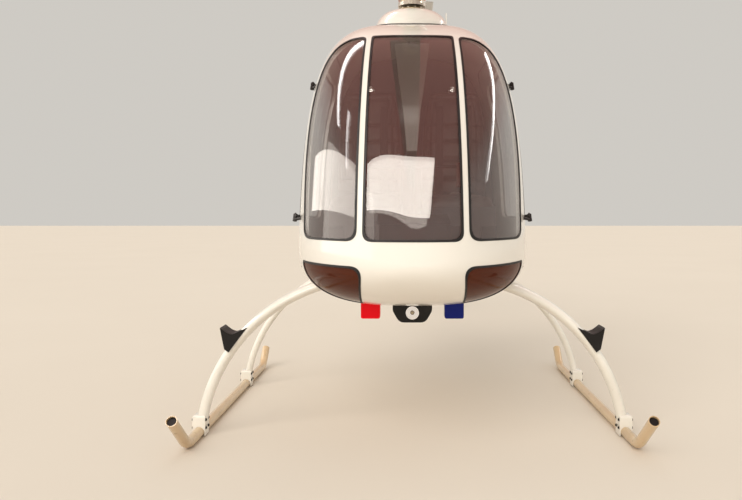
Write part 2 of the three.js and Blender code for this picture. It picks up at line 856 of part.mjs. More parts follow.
add(
  "rotor_hub",
  join(
    grip(-1),
    grip(1),
    rod(at(-52, MAST_Y, BLADE_Z), at(52, MAST_Y, BLADE_Z), 16, 12),
    box([-20, MAST_Y - 26, BLADE_Z - 21.6], [20, MAST_Y + 26, BLADE_Z + 38]),
  ),
  STEEL,
);

// Aerofoil outline of a chord about its quarter point, as (across, up) pairs
function aerofoil(chord, thickness) {
  const stations = [1, 0.8, 0.55, 0.3, 0.12, 0.03, 0];
  const shape = (u) =>
    thickness * (1.4845 * Math.sqrt(u) - 0.63 * u - 1.758 * u ** 2 + 1.4215 * u ** 3 - 0.5075 * u ** 4);
  const upper = stations.map((u) => [(u - 0.25) * chord, Math.max(shape(u), 0.6)]);
  const lower = stations.slice(0, -1).reverse().map((u) => [(u - 0.25) * chord, -Math.max(shape(u), 0.6)]);
  return [...upper, ...lower];
}

const BLADE_CHORD = 180;
function blade(s) {
  const profile = aerofoil(BLADE_CHORD, 20);
  const ring = (y, scale) => profile.map(([a, b]) => at(s * a, MAST_Y + s * y, BLADE_Z + b * scale));
  return loft([ring(430.4, 1), ring(520, 1), ring(3290, 1), ring(ROTOR_RADIUS, 0.6)]);
}
add("main_blade_front", blade(-1), BLADE_GREY);
add("main_blade_rear", blade(1), BLADE_GREY);

// Tail boom, ring guard, stabiliser
const RING_RADIUS = 465;
const RING_TUBE = 20;
const RING_GAP = 62;
add("tail_boom", boom(0), WHITE);
const ringArc = (s) => {
  const start = Math.asin(RING_GAP / RING_RADIUS);
  return Array.from({ length: 17 }, (_, i) => {
    const angle = mix(start, Math.PI - start, i / 16);
    return at(0, TAIL_ROTOR_Y - RING_RADIUS * Math.cos(angle), BOOM_Z + s * RING_RADIUS * Math.sin(angle));
  });
};
const guardHalf = (s) => {
  const foot = (y) => rod(at(0, y, BOOM_Z + s * 30), at(0, y, BOOM_Z + s * 75), 20, 12);
  const reach = RING_RADIUS * Math.cos(Math.asin(RING_GAP / RING_RADIUS));
  return cut(
    join(
      sweep(ringArc(s), at(1, 0, 0), () => [RING_TUBE, RING_TUBE], 10),
      foot(TAIL_ROTOR_Y - reach),
      foot(TAIL_ROTOR_Y + reach - 30),
    ),
    boomClear,
  );
};
const tailSkid = sweep(
  [
    at(0, TAIL_ROTOR_Y - 120, BOOM_Z - RING_RADIUS + 12),
    at(0, TAIL_ROTOR_Y - 40, BOOM_Z - RING_RADIUS - 80),
    at(0, TAIL_ROTOR_Y + 60, BOOM_Z - RING_RADIUS - 112),
    at(0, TAIL_ROTOR_Y + 120, BOOM_Z - RING_RADIUS - 102),
  ],
  at(1, 0, 0),
  () => [9, 9],
  8,
);
add("tail_guard_upper", guardHalf(1), WHITE);
add("tail_guard_lower", join(guardHalf(-1), tailSkid), WHITE);

const STABILISER_Y = 2420;
const STABILISER_HALF_SPAN = 560;
const stabProfile = aerofoil(230, 24);
const stabRing = (x) => stabProfile.map(([a, b]) => at(x, STABILISER_Y + a, BOOM_Z - 56 + b));
const endPlate = prism(
  "side",
  [
    [STABILISER_Y - 85, BOOM_Z - 240, 30],
    [STABILISER_Y + 115, BOOM_Z - 240, 30],
    [STABILISER_Y + 155, BOOM_Z + 130, 30],
    [STABILISER_Y - 20, BOOM_Z + 130, 30],
  ],
  STABILISER_HALF_SPAN - 2,
  STABILISER_HALF_SPAN + 12,
);
add(
  "stabiliser",
  cut(
    join(
      loft([stabRing(-STABILISER_HALF_SPAN), stabRing(STABILISER_HALF_SPAN)]),
      box([-26, STABILISER_Y - 40, BOOM_Z - 66], [26, STABILISER_Y + 120, BOOM_Z - 20]),
      endPlate,
      mirror(endPlate),
    ),
    boomClear,
  ),
  WHITE,
);

// Tail rotor on the left of the boom
const TAIL_PLANE_X = 112;
add(
  "tail_gearbox",
  cut(
    join(
      rod(at(36, TAIL_ROTOR_Y, BOOM_Z), at(60, TAIL_ROTOR_Y, BOOM_Z), 30, 16),
      rod(at(50, TAIL_ROTOR_Y, BOOM_Z), at(78, TAIL_ROTOR_Y, BOOM_Z), 46, 20),
    ),
    boomClear,
  ),
  STEEL,
);
const TAIL_RADIUS = 412;
const tailProfile = aerofoil(95, 11);
const tailBlade = (s) => {
  const ring = (z) => tailProfile.map(([a, b]) => at(TAIL_PLANE_X + b, TAIL_ROTOR_Y + s * a, BOOM_Z + s * z));
  return loft([ring(70), ring(TAIL_RADIUS)]);
};
add(
  "tail_rotor",
  join(
    rod(at(78 + SEAT_GAP, TAIL_ROTOR_Y, BOOM_Z), at(TAIL_PLANE_X + 30, TAIL_ROTOR_Y, BOOM_Z), 16, 16),
    box(
      [TAIL_PLANE_X - 14, TAIL_ROTOR_Y - 24, BOOM_Z - 95],
      [TAIL_PLANE_X + 14, TAIL_ROTOR_Y + 24, BOOM_Z + 95],
    ),
    tailBlade(1),
    tailBlade(-1),
  ),
  BLADE_GREY,
);

// Antenna on the roof
add("antenna", cut(rod(at(214, 0, 1800), at(214, 0, 2290), 3.5, 8), outsideClear), BLACK);

export default part;
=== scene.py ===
import json
import math

import bpy
import numpy as np
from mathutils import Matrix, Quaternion, Vector


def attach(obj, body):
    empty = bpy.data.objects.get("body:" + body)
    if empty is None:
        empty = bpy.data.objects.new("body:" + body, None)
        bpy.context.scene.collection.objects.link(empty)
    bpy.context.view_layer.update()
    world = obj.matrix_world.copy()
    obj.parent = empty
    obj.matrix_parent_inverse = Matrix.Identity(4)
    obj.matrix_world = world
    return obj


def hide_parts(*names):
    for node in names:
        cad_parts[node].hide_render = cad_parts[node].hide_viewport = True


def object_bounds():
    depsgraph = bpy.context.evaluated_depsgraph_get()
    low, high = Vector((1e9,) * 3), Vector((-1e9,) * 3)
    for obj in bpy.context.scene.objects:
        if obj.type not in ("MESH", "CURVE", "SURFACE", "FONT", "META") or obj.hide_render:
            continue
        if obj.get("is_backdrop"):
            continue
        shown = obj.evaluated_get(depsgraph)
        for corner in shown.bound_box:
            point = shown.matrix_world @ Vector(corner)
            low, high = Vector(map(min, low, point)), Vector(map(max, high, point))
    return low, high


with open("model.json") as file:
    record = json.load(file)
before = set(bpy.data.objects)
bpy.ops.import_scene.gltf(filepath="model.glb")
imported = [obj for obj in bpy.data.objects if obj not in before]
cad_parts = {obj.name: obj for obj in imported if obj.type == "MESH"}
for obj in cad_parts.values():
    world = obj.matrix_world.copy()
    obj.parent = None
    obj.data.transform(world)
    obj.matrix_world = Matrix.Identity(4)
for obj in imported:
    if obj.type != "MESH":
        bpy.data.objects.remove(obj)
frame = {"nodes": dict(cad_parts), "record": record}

cad_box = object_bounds()

# Camera: stands square in front of the nose at chest height, level with the window sills. The
# picture is cropped off centre, so its vanishing point is reached with a small sideways shift.
PICTURE_WIDTH, PICTURE_HEIGHT = 742, 500
FOCAL_PIXELS = 721
VANISHING_X, VANISHING_Y = 409, 214
FRAME_CENTRE_Y = 237
camera_data = bpy.data.cameras.new("camera")
camera_data.sensor_width = 36
camera_data.lens = FOCAL_PIXELS / PICTURE_WIDTH * camera_data.sensor_width
camera_data.shift_x = (PICTURE_WIDTH / 2 - VANISHING_X) / PICTURE_WIDTH
camera_data.shift_y = (FRAME_CENTRE_Y - PICTURE_HEIGHT / 2) / PICTURE_WIDTH
camera = bpy.data.objects.new("camera", camera_data)
bpy.context.scene.collection.objects.link(camera)
bpy.context.scene.camera = camera
camera.location = (-0.016, -4.50, 1.05)
dip = math.atan((FRAME_CENTRE_Y - VANISHING_Y) / FOCAL_PIXELS)
camera.rotation_euler = (math.pi / 2 - dip, 0, 0)

# Inputs and output of a Mix node that mixes colours.
MIX_FACTOR, MIX_FIRST, MIX_SECOND = 0, 6, 7
MIX_RESULT = 2


class Tone:
    """A number that varies over a surface. Arithmetic on it adds Math nodes to its material."""

    def __init__(self, tree, socket):
        self.tree = tree
        self.socket = socket

    def joined(self, operation, first, second):
        """The result of a Math node that takes two tones or plain numbers."""
        node = self.tree.nodes.new("ShaderNodeMath")
        node.operation = operation
        for socket, value in zip(node.inputs, (first, second)):
            if isinstance(value, Tone):
                self.tree.links.new(value.socket, socket)
            else:
                socket.default_value = value
        return Tone(self.tree, node.outputs[0])

    def __add__(self, other):
        return self.joined("ADD", self, other)

    def __radd__(self, other):
        return self.joined("ADD", other, self)

    def __sub__(self, other):
        return self.joined("SUBTRACT", self, other)

    def __rsub__(self, other):
        return self.joined("SUBTRACT", other, self)

    def __mul__(self, other):
        return self.joined("MULTIPLY", self, other)

    def __rmul__(self, other):
        return self.joined("MULTIPLY", other, self)

    def __truediv__(self, other):
        return self.joined("DIVIDE", self, other)

    def __pow__(self, other):
        return self.joined("POWER", self, other)

    def most(self, other):
        """The larger of the two."""
        return self.joined("MAXIMUM", self, other)


class Finish:
    """A material under construction: a Principled surface and the nodes that vary it."""

    def __init__(self, name, **constants):
        self.material = bpy.data.materials.new(name)
        self.material.use_nodes = True
        self.tree = self.material.node_tree
        self.shader = self.tree.nodes["Principled BSDF"]
        for socket, value in constants.items():
            self.set(socket.replace("_", " "), value)

    def set(self, socket, value):
        """Gives one of the surface's own inputs a number, a colour or a tone."""
        target = self.shader.inputs[socket]
        if isinstance(value, Tone):
            self.tree.links.new(value.socket, target)
        elif isinstance(value, tuple) and len(value) == 3 and target.type == "RGBA":
            target.default_value = (*value, 1)
        else:
            target.default_value = value
        return self

    def node(self, kind, settings=(), inputs=(), output=0):
        """Adds a node, with its settings made before its inputs, and returns one of its outputs."""
        node = self.tree.nodes.new(kind)
        for key, value in dict(settings).items():
            setattr(node, key, value)
        for key, value in dict(inputs).items():
            if isinstance(value, Tone):
                self.tree.links.new(value.socket, node.inputs[key])
            else:
                node.inputs[key].default_value = value
        return Tone(self.tree, node.outputs[output])

    def place(self, scale=(1, 1, 1)):
        """Object coordinates, stretched by scale."""
        place = self.node("ShaderNodeTexCoord", output="Object")
        return self.node("ShaderNodeMapping", (), {"Vector": place, "Scale": scale})

    def noise(self, scale, detail=3, stretch=(1, 1, 1), rough=0.5):
        """Cloudy pattern around 0.5, finer as scale grows."""
        inputs = {
            "Vector": self.place(stretch),
            "Scale": scale,
            "Detail": detail,
            "Roughness": rough,
        }
        return self.node("ShaderNodeTexNoise", (), inputs)

    def height(self):
        """World height of the point, in metres."""
        place = self.node("ShaderNodeTexCoord", output="Object")
        return self.node("ShaderNodeSeparateXYZ", (), {0: place}, output="Z")

    def ramp(self, tone, low, high):
        """0 below low, 1 above high, smooth between."""
        return self.node(
            "ShaderNodeMapRange",
            {"interpolation_type": "SMOOTHSTEP"},
            {"Value": tone, "From Min": low, "From Max": high},
        )

    def mix(self, factor, first, second):
        """Colour between two colours, each of them a plain one or a tone."""
        inputs = {MIX_FACTOR: factor}
        for socket, colour in ((MIX_FIRST, first), (MIX_SECOND, second)):
            inputs[socket] = colour if isinstance(colour, Tone) else (*colour, 1)
        return self.node("ShaderNodeMix", {"data_type": "RGBA"}, inputs, output=MIX_RESULT)

    def bump(self, tone, strength, distance):
        """Relief whose height is the tone times the distance in metres."""
        inputs = {"Height": tone, "Strength": strength, "Distance": distance}
        return self.set("Normal", self.node("ShaderNodeBump", (), inputs))


# Studio: a pale seamless floor, soft suns that only light surfaces, and cards and strips that
# only show as reflections. Glass and gloss paint see a brown ceiling above a pale horizon.
bpy.context.scene.view_settings.view_transform = "Standard"
FLOOR_REACH = 60
floor_mesh = bpy.data.meshes.new("studio_floor")
floor_mesh.from_pydata(
    [(x * FLOOR_REACH, y * FLOOR_REACH, 0) for x, y in ((-1, -1), (1, -1), (1, 1), (-1, 1))],
    [],
    [(0, 1, 2, 3)],
)
floor = bpy.data.objects.new("studio_floor", floor_mesh)
bpy.context.scene.collection.objects.link(floor)
floor_finish = Finish("studio_floor", Specular_IOR_Level=0.0)
floor_finish.set(
    "Base Color",
    floor_finish.mix(floor_finish.noise(0.6), (0.74, 0.665, 0.58), (0.77, 0.695, 0.61)),
)
floor_finish.set("Roughness", floor_finish.noise(0.9, 3) * 0.1 + 0.62)
floor_mesh.materials.append(floor_finish.material)
floor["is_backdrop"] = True

world = bpy.data.worlds.new("studio")
bpy.context.scene.world = world
world.use_nodes = True
SKY = [
    # sine of the elevation, colour that gloss reflects
    (0.0, (0.93, 0.86, 0.76)),
    (0.22, (0.93, 0.88, 0.80)),
    (0.42, (0.72, 0.44, 0.37)),
    (0.75, (0.92, 0.44, 0.37)),
]
SURROUND = (0.73, 0.70, 0.65)
SURROUND_STRENGTH = 0.85
nodes, links = world.node_tree.nodes, world.node_tree.links
upward = nodes.new("ShaderNodeSeparateXYZ")
climb = nodes.new("ShaderNodeValToRGB")
choice = nodes.new("ShaderNodeMix")
choice.data_type = "RGBA"
stops = climb.color_ramp.elements
while len(stops) < len(SKY):
    stops.new(1)
for stop, (elevation, colour) in zip(stops, SKY):
    stop.position = elevation
    stop.color = (*colour, 1)
choice.inputs[MIX_FIRST].default_value = (*SURROUND, 1)
links.new(nodes.new("ShaderNodeTexCoord").outputs["Generated"], upward.inputs[0])
links.new(upward.outputs["Z"], climb.inputs[0])
links.new(climb.outputs[0], choice.inputs[MIX_SECOND])
links.new(nodes.new("ShaderNodeLightPath").outputs["Is Glossy Ray"], choice.inputs[MIX_FACTOR])
links.new(choice.outputs[MIX_RESULT], nodes["Background"].inputs["Color"])
nodes["Background"].inputs["Strength"].default_value = SURROUND_STRENGTH

SUNS = [
    # name, where it shines from, spread in degrees, strength, colour
    ("key", (-3.0, -6.5, 5.5), 50, 2.05, (1.0, 0.95, 0.87)),
    ("fill", (6.0, -5.0, 3.5), 70, 0.30, (1.0, 0.96, 0.90)),
    ("top", (0.0, 1.0, 8.5), 80, 0.25, (1.0, 0.97, 0.93)),
    ("rear", (3.0, 9.0, 5.0), 60, 0.25, (1.0, 0.97, 0.93)),
]
WARM, PALE = (1.0, 0.93, 0.84), (1.0, 0.98, 0.96)
CARDS = [
    # name, centre, aim, width and height, roll in degrees, brightness, colour
    ("board", (-0.62, -2.3, 1.62), (-0.62, 0.0, 1.62), (2.0, 0.69), -4, 10.0, WARM),
    ("left_board", (-2.875, 0.2, 1.63), (-1.923, 0.506, 1.63), (4.4, 0.77), 0, 3.6, WARM),
    ("side_wall", (-11.0, -2.0, 2.7), (0.0, -2.0, 2.7), (14.0, 4.2), 0, 1.6, WARM),
    ("left_strip", (-4.0, 0.9, 4.5), (-4.0, 0.9, 0), (6.0, 0.45), 0, 8.0, PALE),
    ("low_strip", (-8.0, -0.9, 4.5), (-8.0, -0.9, 0), (7.0, 0.35), 0, 6.0, PALE),
    ("right_strip", (10.0, 2.7, 4.5), (10.0, 2.7, 0), (15.0, 0.45), 0, 10.0, PALE),
]


def lamp(name, kind, place, aim, strength, colour, in_gloss, roll=0.0):
    """A light that either lights surfaces or only shows as a reflection in glossy ones."""
    data = bpy.data.lights.new(name, kind)
    data.energy = strength
    data.color = colour
    holder = bpy.data.objects.new(name, data)
    holder.location = place
    facing = (Vector(aim) - Vector(place)).to_track_quat("-Z", "Y")
    holder.rotation_euler = (facing @ Quaternion((0, 0, 1), math.radians(roll))).to_euler()
    holder.visible_diffuse = not in_gloss
    holder.visible_transmission = not in_gloss
    holder.visible_glossy = in_gloss
    bpy.context.scene.collection.objects.link(holder)
    return data


for name, place, spread, strength, colour in SUNS:
    lamp(name, "SUN", place, (0, 0, 1), strength, colour, False).angle = math.radians(spread)
for name, place, aim, (width, height), roll, brightness, colour in CARDS:
    power = brightness * width * height * math.pi
    card = lamp(name, "AREA", place, aim, power, colour, True, roll)
    card.shape = "RECTANGLE"
    card.size = width
    card.size_y = height


# Finishes. White paint is warm and glossy with faint orange peel. The glass is smoked brown and
# clear enough to see the cabin through. The gear and the fittings show light wear.
def painted(name, colour, worn, roughness=0.24, wear=0.0):
    """Gloss paint whose tone drifts a little and which darkens or scuffs in patches."""
    finish = Finish(name, Coat_Weight=0.7, Coat_Roughness=0.05)
    drift = finish.ramp(finish.noise(2.2, 4), 0.35, 0.75)
    scuffs = finish.ramp(finish.noise(38, 6, rough=0.65), 0.62 - wear * 0.14, 0.78)
    grime = drift * (0.18 + wear * 0.3) + scuffs * wear
    finish.set("Base Color", finish.mix(grime, colour, worn))
    finish.set("Roughness", finish.noise(9, 4) * 0.12 + (roughness - 0.06) + scuffs * (0.25 * wear))
    return finish.bump(finish.noise(420, 2), 0.03, 0.0006)


def rubber(name, colour, roughness, grain=900, faded=1.7):
    """Matt or satin dark stuff with a fine grain and paler patches, faded times as pale."""
    finish = Finish(name, Specular_IOR_Level=0.3)
    patches = finish.ramp(finish.noise(14, 5), 0.4, 0.8)
    pale = tuple(faded * c + 0.004 for c in colour)
    finish.set("Base Color", finish.mix(patches, colour, pale))
    finish.set("Roughness", finish.noise(20, 4) * 0.2 + (roughness - 0.1))
    return finish.bump(finish.noise(grain, 2), 0.12, 0.0004)


def metal(name, colour, roughness, stretch=(1, 1, 1), dirt=0.3):
    """Bare metal with darker patches, and fine marks that stretch squeezes along its axes."""
    finish = Finish(name, Metallic=1.0)
    patches = finish.ramp(finish.noise(16, 5), 0.45, 0.75)
    finish.set("Base Color", finish.mix(patches * dirt, colour, tuple(0.45 * c for c in colour)))
    marks = finish.noise(260, 3, stretch)
    finish.set("Roughness", marks * 0.22 + patches * 0.12 + (roughness - 0.11))
    return finish.bump(marks, 0.05, 0.0003)


white = painted("warm_white_gloss", (0.88, 0.85, 0.79), (0.78, 0.73, 0.65))
white_gear = painted("white_gear_paint", (0.83, 0.80, 0.73), (0.46, 0.41, 0.33), 0.3, 0.35)
cream = painted("cream_skid_paint", (0.68, 0.50, 0.29), (0.25, 0.16, 0.09), 0.36, 0.6)
blade_paint = painted("grey_blade_paint", (0.40, 0.385, 0.36), (0.24, 0.22, 0.20), 0.34, 0.25)
black = rubber("black_satin_paint", (0.007, 0.006, 0.006), 0.42)
gasket_rubber = rubber("black_gasket_rubber", (0.010, 0.010, 0.011), 0.55)
steel = metal("brushed_steel", (0.56, 0.53, 0.47), 0.33, (1, 1, 6))
bronze = metal("brassy_fittings", (0.52, 0.44, 0.30), 0.36)
chrome = metal("bright_reflector", (0.86, 0.85, 0.83), 0.12, dirt=0.1)
dark_metal = metal("scorched_steel", (0.30, 0.25, 0.21), 0.48, dirt=0.8)
engine_metal = metal("cast_alloy", (0.42, 0.41, 0.40), 0.55, dirt=0.5)
lining = rubber("grey_cabin_lining", (0.115, 0.108, 0.105), 0.8, 600, 1.15)
carpet = rubber("dark_carpet", (0.030, 0.027, 0.026), 0.95, 1400, 1.3)


def acrylic(name, tint, opacity, index, gloss=1.0):
    """Clear moulded sheet: smoked by its opacity, and as glossy as its index and coat make it."""
    finish = Finish(name, Base_Color=tint, IOR=index)
    finish.set("Coat Weight", gloss).set("Coat Roughness", 0.01).set("Coat IOR", index + 0.3)
    finish.set("Roughness", finish.noise(6, 3) * 0.03 + 0.015)
    return finish.set("Alpha", finish.ramp(finish.noise(1.6, 2), 0.2, 0.9) * 0.03 + opacity)


glass = acrylic("smoked_acrylic", (0.105, 0.054, 0.050), 0.37, 1.6)
# The chin panes' deep orange-brown tint, high opacity and weak gloss are a painted reflection of a
# brown floor.
chin_glass_painted_reflection = acrylic("chin_acrylic_painted_reflection", (0.105, 0.028, 0.014), 0.8, 1.05, 0.3)


def lens(name, colour, glow):
    """Moulded lens: ribbed, with a faint coat, a little lit from behind."""
    finish = Finish(name, Base_Color=colour, Roughness=0.3, Specular_IOR_Level=0.1)
    finish.set("Coat Weight", 0.08).set("Coat Roughness", 0.06)
    finish.set("Emission Color", colour).set("Emission Strength", glow)
    waves = {"Vector": finish.place(), "Scale": 70.0}
    ribs = finish.node("ShaderNodeTexWave", {"bands_direction": "Z"}, waves)
    return finish.bump(ribs, 0.35, 0.001)


red_lens = lens("red_lens", (0.66, 0.002, 0.008), 0.3)
blue_lens = lens("blue_lens", (0.006, 0.014, 0.16), 0.12)


def finished(piece, finish, body="airframe", smooth=None):
    """Gives a piece its finish and its body; edges under smooth degrees are shaded soft."""
    piece.data.materials.clear()
    piece.data.materials.append(finish.material)
    if smooth is not None:
        piece.data.shade_smooth()
        piece.data.set_sharp_from_angle(angle=math.radians(smooth))
    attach(piece, body)
    return piece


def dress(finish, *names):
    """Gives CAD nodes a finish."""
    for name in names:
        slots = frame["nodes"][name].data.materials
        slots.clear()
        slots.append(finish.material)


by_slot = {
    "body_white": white,
    "trim_black": black,
    "tinted_glass": glass,
    "cabin_grey": lining,
    "skid_cream": cream,
    "rotor_steel": steel,
    "blade_paint": blade_paint,
    "seat_fabric": lining,
    "engine_metal": engine_metal,
    "lamp_red": red_lens,
    "lamp_blue": blue_lens,
    "lamp_chrome": chrome,
}
for entry in frame["record"]["subparts"]:
    dress(by_slot[entry["material_slot"]], entry["node"])
dress(dark_metal, "exhaust_pipe")
dress(white_gear, "antenna")
# Fuselage skin: the CAD skin's own curves at a finer step. Sections across Y are rounded
# squares whose top, bottom, half-width and corner powers follow quarter curves from the nose
# and fade into the boom's root. SEAT_GAP parts pieces that sit against each other.
NOSE_Y, NOSE_Z = -1.7, 0.849
ROOF_Z, BELLY_Z, CABIN_HALF_WIDTH = 2.038, 0.622, 0.580
BOOM_Z, BOOM_ROOT_RADIUS = 1.43, 0.07
ROOF_START_Y, BELLY_START_Y, WIDEST_START_Y = -0.54, -1.05, -0.7
TAPER_START_Y, COWL_END_Y = -0.4, 0.9
WIDEST_Z, SIDE_LEAN = 0.896, 0.11
WALL, GLASS_DEPTH, GLASS = 0.022, 0.002, 0.005
SEAT_GAP, DOOR_GAP = 0.0004, 0.006


def mix(first, second, factor):
    """The first value at factor 0, the second at 1."""
    return first + (second - first) * factor


def quarter(u, power):
    """Quarter of a superellipse: 1 at u = 0, 0 at u = 1."""
    return (1 - np.clip(u, 0, 1) ** power) ** (1 / power)


def section(y, inset):
    """Top, bottom, middle, half-width, upper and lower corner power and lean of the skin at y.

    Quarter curves open them from the nose, and 1 less a power of the way aft closes them
    towards the boom's root.
    """
    nose = NOSE_Y + inset
    tail = np.clip((y - TAPER_START_Y) / (COWL_END_Y - TAPER_START_Y), 0, 1)
    roof, low, wide = (1 - tail**2.6) ** 0.9, (1 - tail**1.8) ** 0.75, (1 - tail**1.8) ** 0.9
    rise = quarter((ROOF_START_Y - y) / (ROOF_START_Y - nose), 2.08)
    drop = quarter((BELLY_START_Y - y) / (BELLY_START_Y - nose), 1.9)
    swell = quarter((WIDEST_START_Y - y) / (WIDEST_START_Y - nose), 2)
    root = BOOM_ROOT_RADIUS - inset
    top = mix(BOOM_Z + root, NOSE_Z + (ROOF_Z - inset - NOSE_Z) * rise, roof)
    bottom = mix(BOOM_Z - root, NOSE_Z - (NOSE_Z - BELLY_Z - inset) * drop, low)
    middle = mix(BOOM_Z, mix(NOSE_Z, WIDEST_Z, drop), low)
    half = mix(root, (CABIN_HALF_WIDTH - inset) * swell, wide)
    upper, lower = mix(2, mix(2.2, 3.9, swell), wide), mix(2, mix(2.2, 2.85, swell), wide)
    return top, bottom, middle, half, upper, lower, SIDE_LEAN * wide


def skin_points(y, turn, inset=0.0):
    """Points of the skin at y, in the directions turn around the section's middle.

    The section is a superellipse, |x|^p + |z|^p = 1, with one power and height above its
    middle and another below, and it narrows upwards by its lean.
    """
    top, bottom, middle, half, upper, lower, lean = section(y, inset)
    across, up = np.cos(turn), np.sin(turn)
    power = np.where(up > 0, upper, lower)
    size = (np.abs(across) ** power + np.abs(up) ** power) ** (-1 / power)
    reach = np.where(up > 0, top - middle, middle - bottom)
    width = half * (1 - lean * np.maximum(size * up, 0))
    return np.stack([width * size * across, y + 0 * turn, middle + reach * size * up], -1)


def skin_level(points):
    """|x|^p + |z|^p - 1 of the section: negative inside the skin, positive outside."""
    x, y, z = np.moveaxis(points, -1, 0)
    top, bottom, middle, half, upper, lower, lean = section(y, 0)
    power = np.where(z > middle, upper, lower)
    v = np.abs(z - middle) / np.where(z > middle, top - middle, middle - bottom)
    u = np.abs(x) / (half * (1 - np.where(z > middle, lean * v, 0)))
    return u**power + v**power - 1


def skin_normals(points):
    """Outward directions of the skin near the points, from differences of its level."""
    steps = 2e-4 * np.eye(3)
    with np.errstate(divide="ignore", invalid="ignore"):
        slopes = [skin_level(points + way) - skin_level(points - way) for way in steps]
        slopes = np.stack(slopes, -1)
        return slopes / np.maximum(np.linalg.norm(slopes, axis=-1, keepdims=True), 1e-12)


def made(name, points, faces):
    """A mesh object from rows of points and faces."""
    mesh = bpy.data.meshes.new(name)
    mesh.from_pydata(np.asarray(points).reshape(-1, 3).tolist(), [], faces)
    mesh.update()
    piece = bpy.data.objects.new(name, mesh)
    bpy.context.scene.collection.objects.link(piece)
    return piece


def grid_faces(rows, columns, start=0):
    """Quads between neighbouring rings of points, numbered from start."""
    row = np.arange(rows - 1)[:, None] * columns
    column = np.arange(columns)[None, :]
    beside = (column + 1) % columns
    beyond = row + columns
    quads = np.stack([row + column, row + beside, beyond + beside, beyond + column], -1)
    return (quads.reshape(-1, 4) + start).tolist()


def lathe(rings, start=0, flip=False):
    """Faces of a closed body over rings of points, with both ends capped."""
    rows, columns = rings.shape[:2]
    last = start + (rows - 1) * columns
    faces = grid_faces(rows, columns, start)
    faces += [list(range(start, start + columns))[::-1], list(range(last, last + columns))]
    return [face[::-1] for face in faces] if flip else faces


def skin_rings(inset, rows, columns):
    """Rings of the skin, spaced by powers so that they crowd at the nose and the boom's root."""
    nose = mix(NOSE_Y + inset, ROOF_START_Y, np.linspace(0.01, 1, rows) ** 2)
    tail = mix(ROOF_START_Y, COWL_END_Y, 1 - np.linspace(1, 0, rows) ** 1.6)
    y = np.concatenate([nose, tail[1:]])[:, None]
    turn = -2 * math.pi * (np.arange(columns) + 0.5)[None, :] / columns
    return skin_points(y, turn, inset)


def skin_band(name, outer, inner, rows=54, columns=176):
    """The material between the skin moved in by outer and by inner."""
    outside = skin_rings(outer, rows, columns)
    inside = skin_rings(inner, rows * 3 // 4, columns * 3 // 4)
    points = np.concatenate([outside.reshape(-1, 3), inside.reshape(-1, 3)])
    faces = lathe(outside) + lathe(inside, start=outside[..., 0].size, flip=True)
    return made(name, points, faces)


CORNER_STEPS = 10


def rounded(corners):
    """Outline of [a, b, radius] corners, each corner a parabola between its two tangent points."""
    points = []
    for i, (a, b, radius) in enumerate(corners):
        here = np.array((a, b))
        before = np.array(corners[i - 1][:2]) - here
        after = np.array(corners[(i + 1) % len(corners)][:2]) - here
        before, after = before / np.linalg.norm(before), after / np.linalg.norm(after)
        if not radius:
            points.append(here)
            continue
        setback = radius / math.tan(math.acos(before @ after) / 2)
        start, end = here + before * setback, here + after * setback
        for t in np.linspace(0, 1, CORNER_STEPS):
            points.append((1 - t) ** 2 * start + 2 * t * (1 - t) * here + t**2 * end)
    return np.array(points)


def prism(view, corners, low, high):
    """Solid over an outline seen from the front (x, z) or from the side (y, z)."""
    flat = rounded(corners)
    across, up, away = {"front": (0, 2, 1), "side": (1, 2, 0)}[view]
    rings = np.zeros((2, len(flat), 3))
    rings[:, :, across] = flat[:, 0]
    rings[:, :, up] = flat[:, 1]
    rings[:, :, away] = [[low], [high]]
    area = np.sum(flat[:, 0] * np.roll(flat[:, 1], -1) - flat[:, 1] * np.roll(flat[:, 0], -1))
    return made("cutter", rings, lathe(rings, flip=(area > 0) == (view == "front")))


def box(low, high):
    """Block between two opposite corners."""
    (x0, y0, z0), (x1, y1, z1) = low, high
    rings = np.array([[(x0, y0, z), (x1, y0, z), (x1, y1, z), (x0, y1, z)] for z in (z0, z1)])
    return made("cutter", rings, lathe(rings))


def mirrored(piece, name=None):
    """The same solid on the other side."""
    points = np.array([vertex.co for vertex in piece.data.vertices]) * (-1, 1, 1)
    faces = [list(face.vertices)[::-1] for face in piece.data.polygons]
    return made(name or piece.name, points, faces)


def discard(*pieces):
    """Removes pieces and their meshes."""
    for piece in pieces:
        mesh = piece.data
        bpy.data.objects.remove(piece)
        bpy.data.meshes.remove(mesh)


def carve(piece, *steps):
    """Applies boolean steps (operation, cutters) to a piece and removes the cutters."""
    for operation, cutters in steps:
        for cutter in cutters:
            modifier = piece.modifiers.new("cut", "BOOLEAN")
            modifier.operation = operation
            modifier.object = cutter
            modifier.solver = "MANIFOLD"
    graph = bpy.context.evaluated_depsgraph_get()
    mesh = bpy.data.meshes.new_from_object(piece.evaluated_get(graph))
    piece.modifiers.clear()
    old, piece.data = piece.data, mesh
    mesh.name = old.name
    bpy.data.meshes.remove(old)
    discard(*(cutter for operation, cutters in steps for cutter in cutters))
    return piece


ON_SKIN_COSINE = 0.86


def follow_skin(piece):
    """Gives faces along the skin the skin's own normals, and cut faces flat ones."""
    mesh = piece.data
    points, flat = np.zeros(len(mesh.vertices) * 3), np.zeros(len(mesh.polygons) * 3)
    mesh.vertices.foreach_get("co", points)
    mesh.polygons.foreach_get("normal", flat)
    corner, count = np.zeros(len(mesh.loops), int), np.zeros(len(mesh.polygons), int)
    mesh.loops.foreach_get("vertex_index", corner)
    mesh.polygons.foreach_get("loop_total", count)
    curved = skin_normals(points.reshape(-1, 3))[corner]
    flat = np.repeat(flat.reshape(-1, 3), count, 0)
    along = np.sum(curved * flat, 1)[:, None]
    mesh.shade_smooth()
    on_skin = np.abs(along) > ON_SKIN_COSINE
    mesh.normals_split_custom_set(np.where(on_skin, curved * np.sign(along), flat).tolist())
    return piece


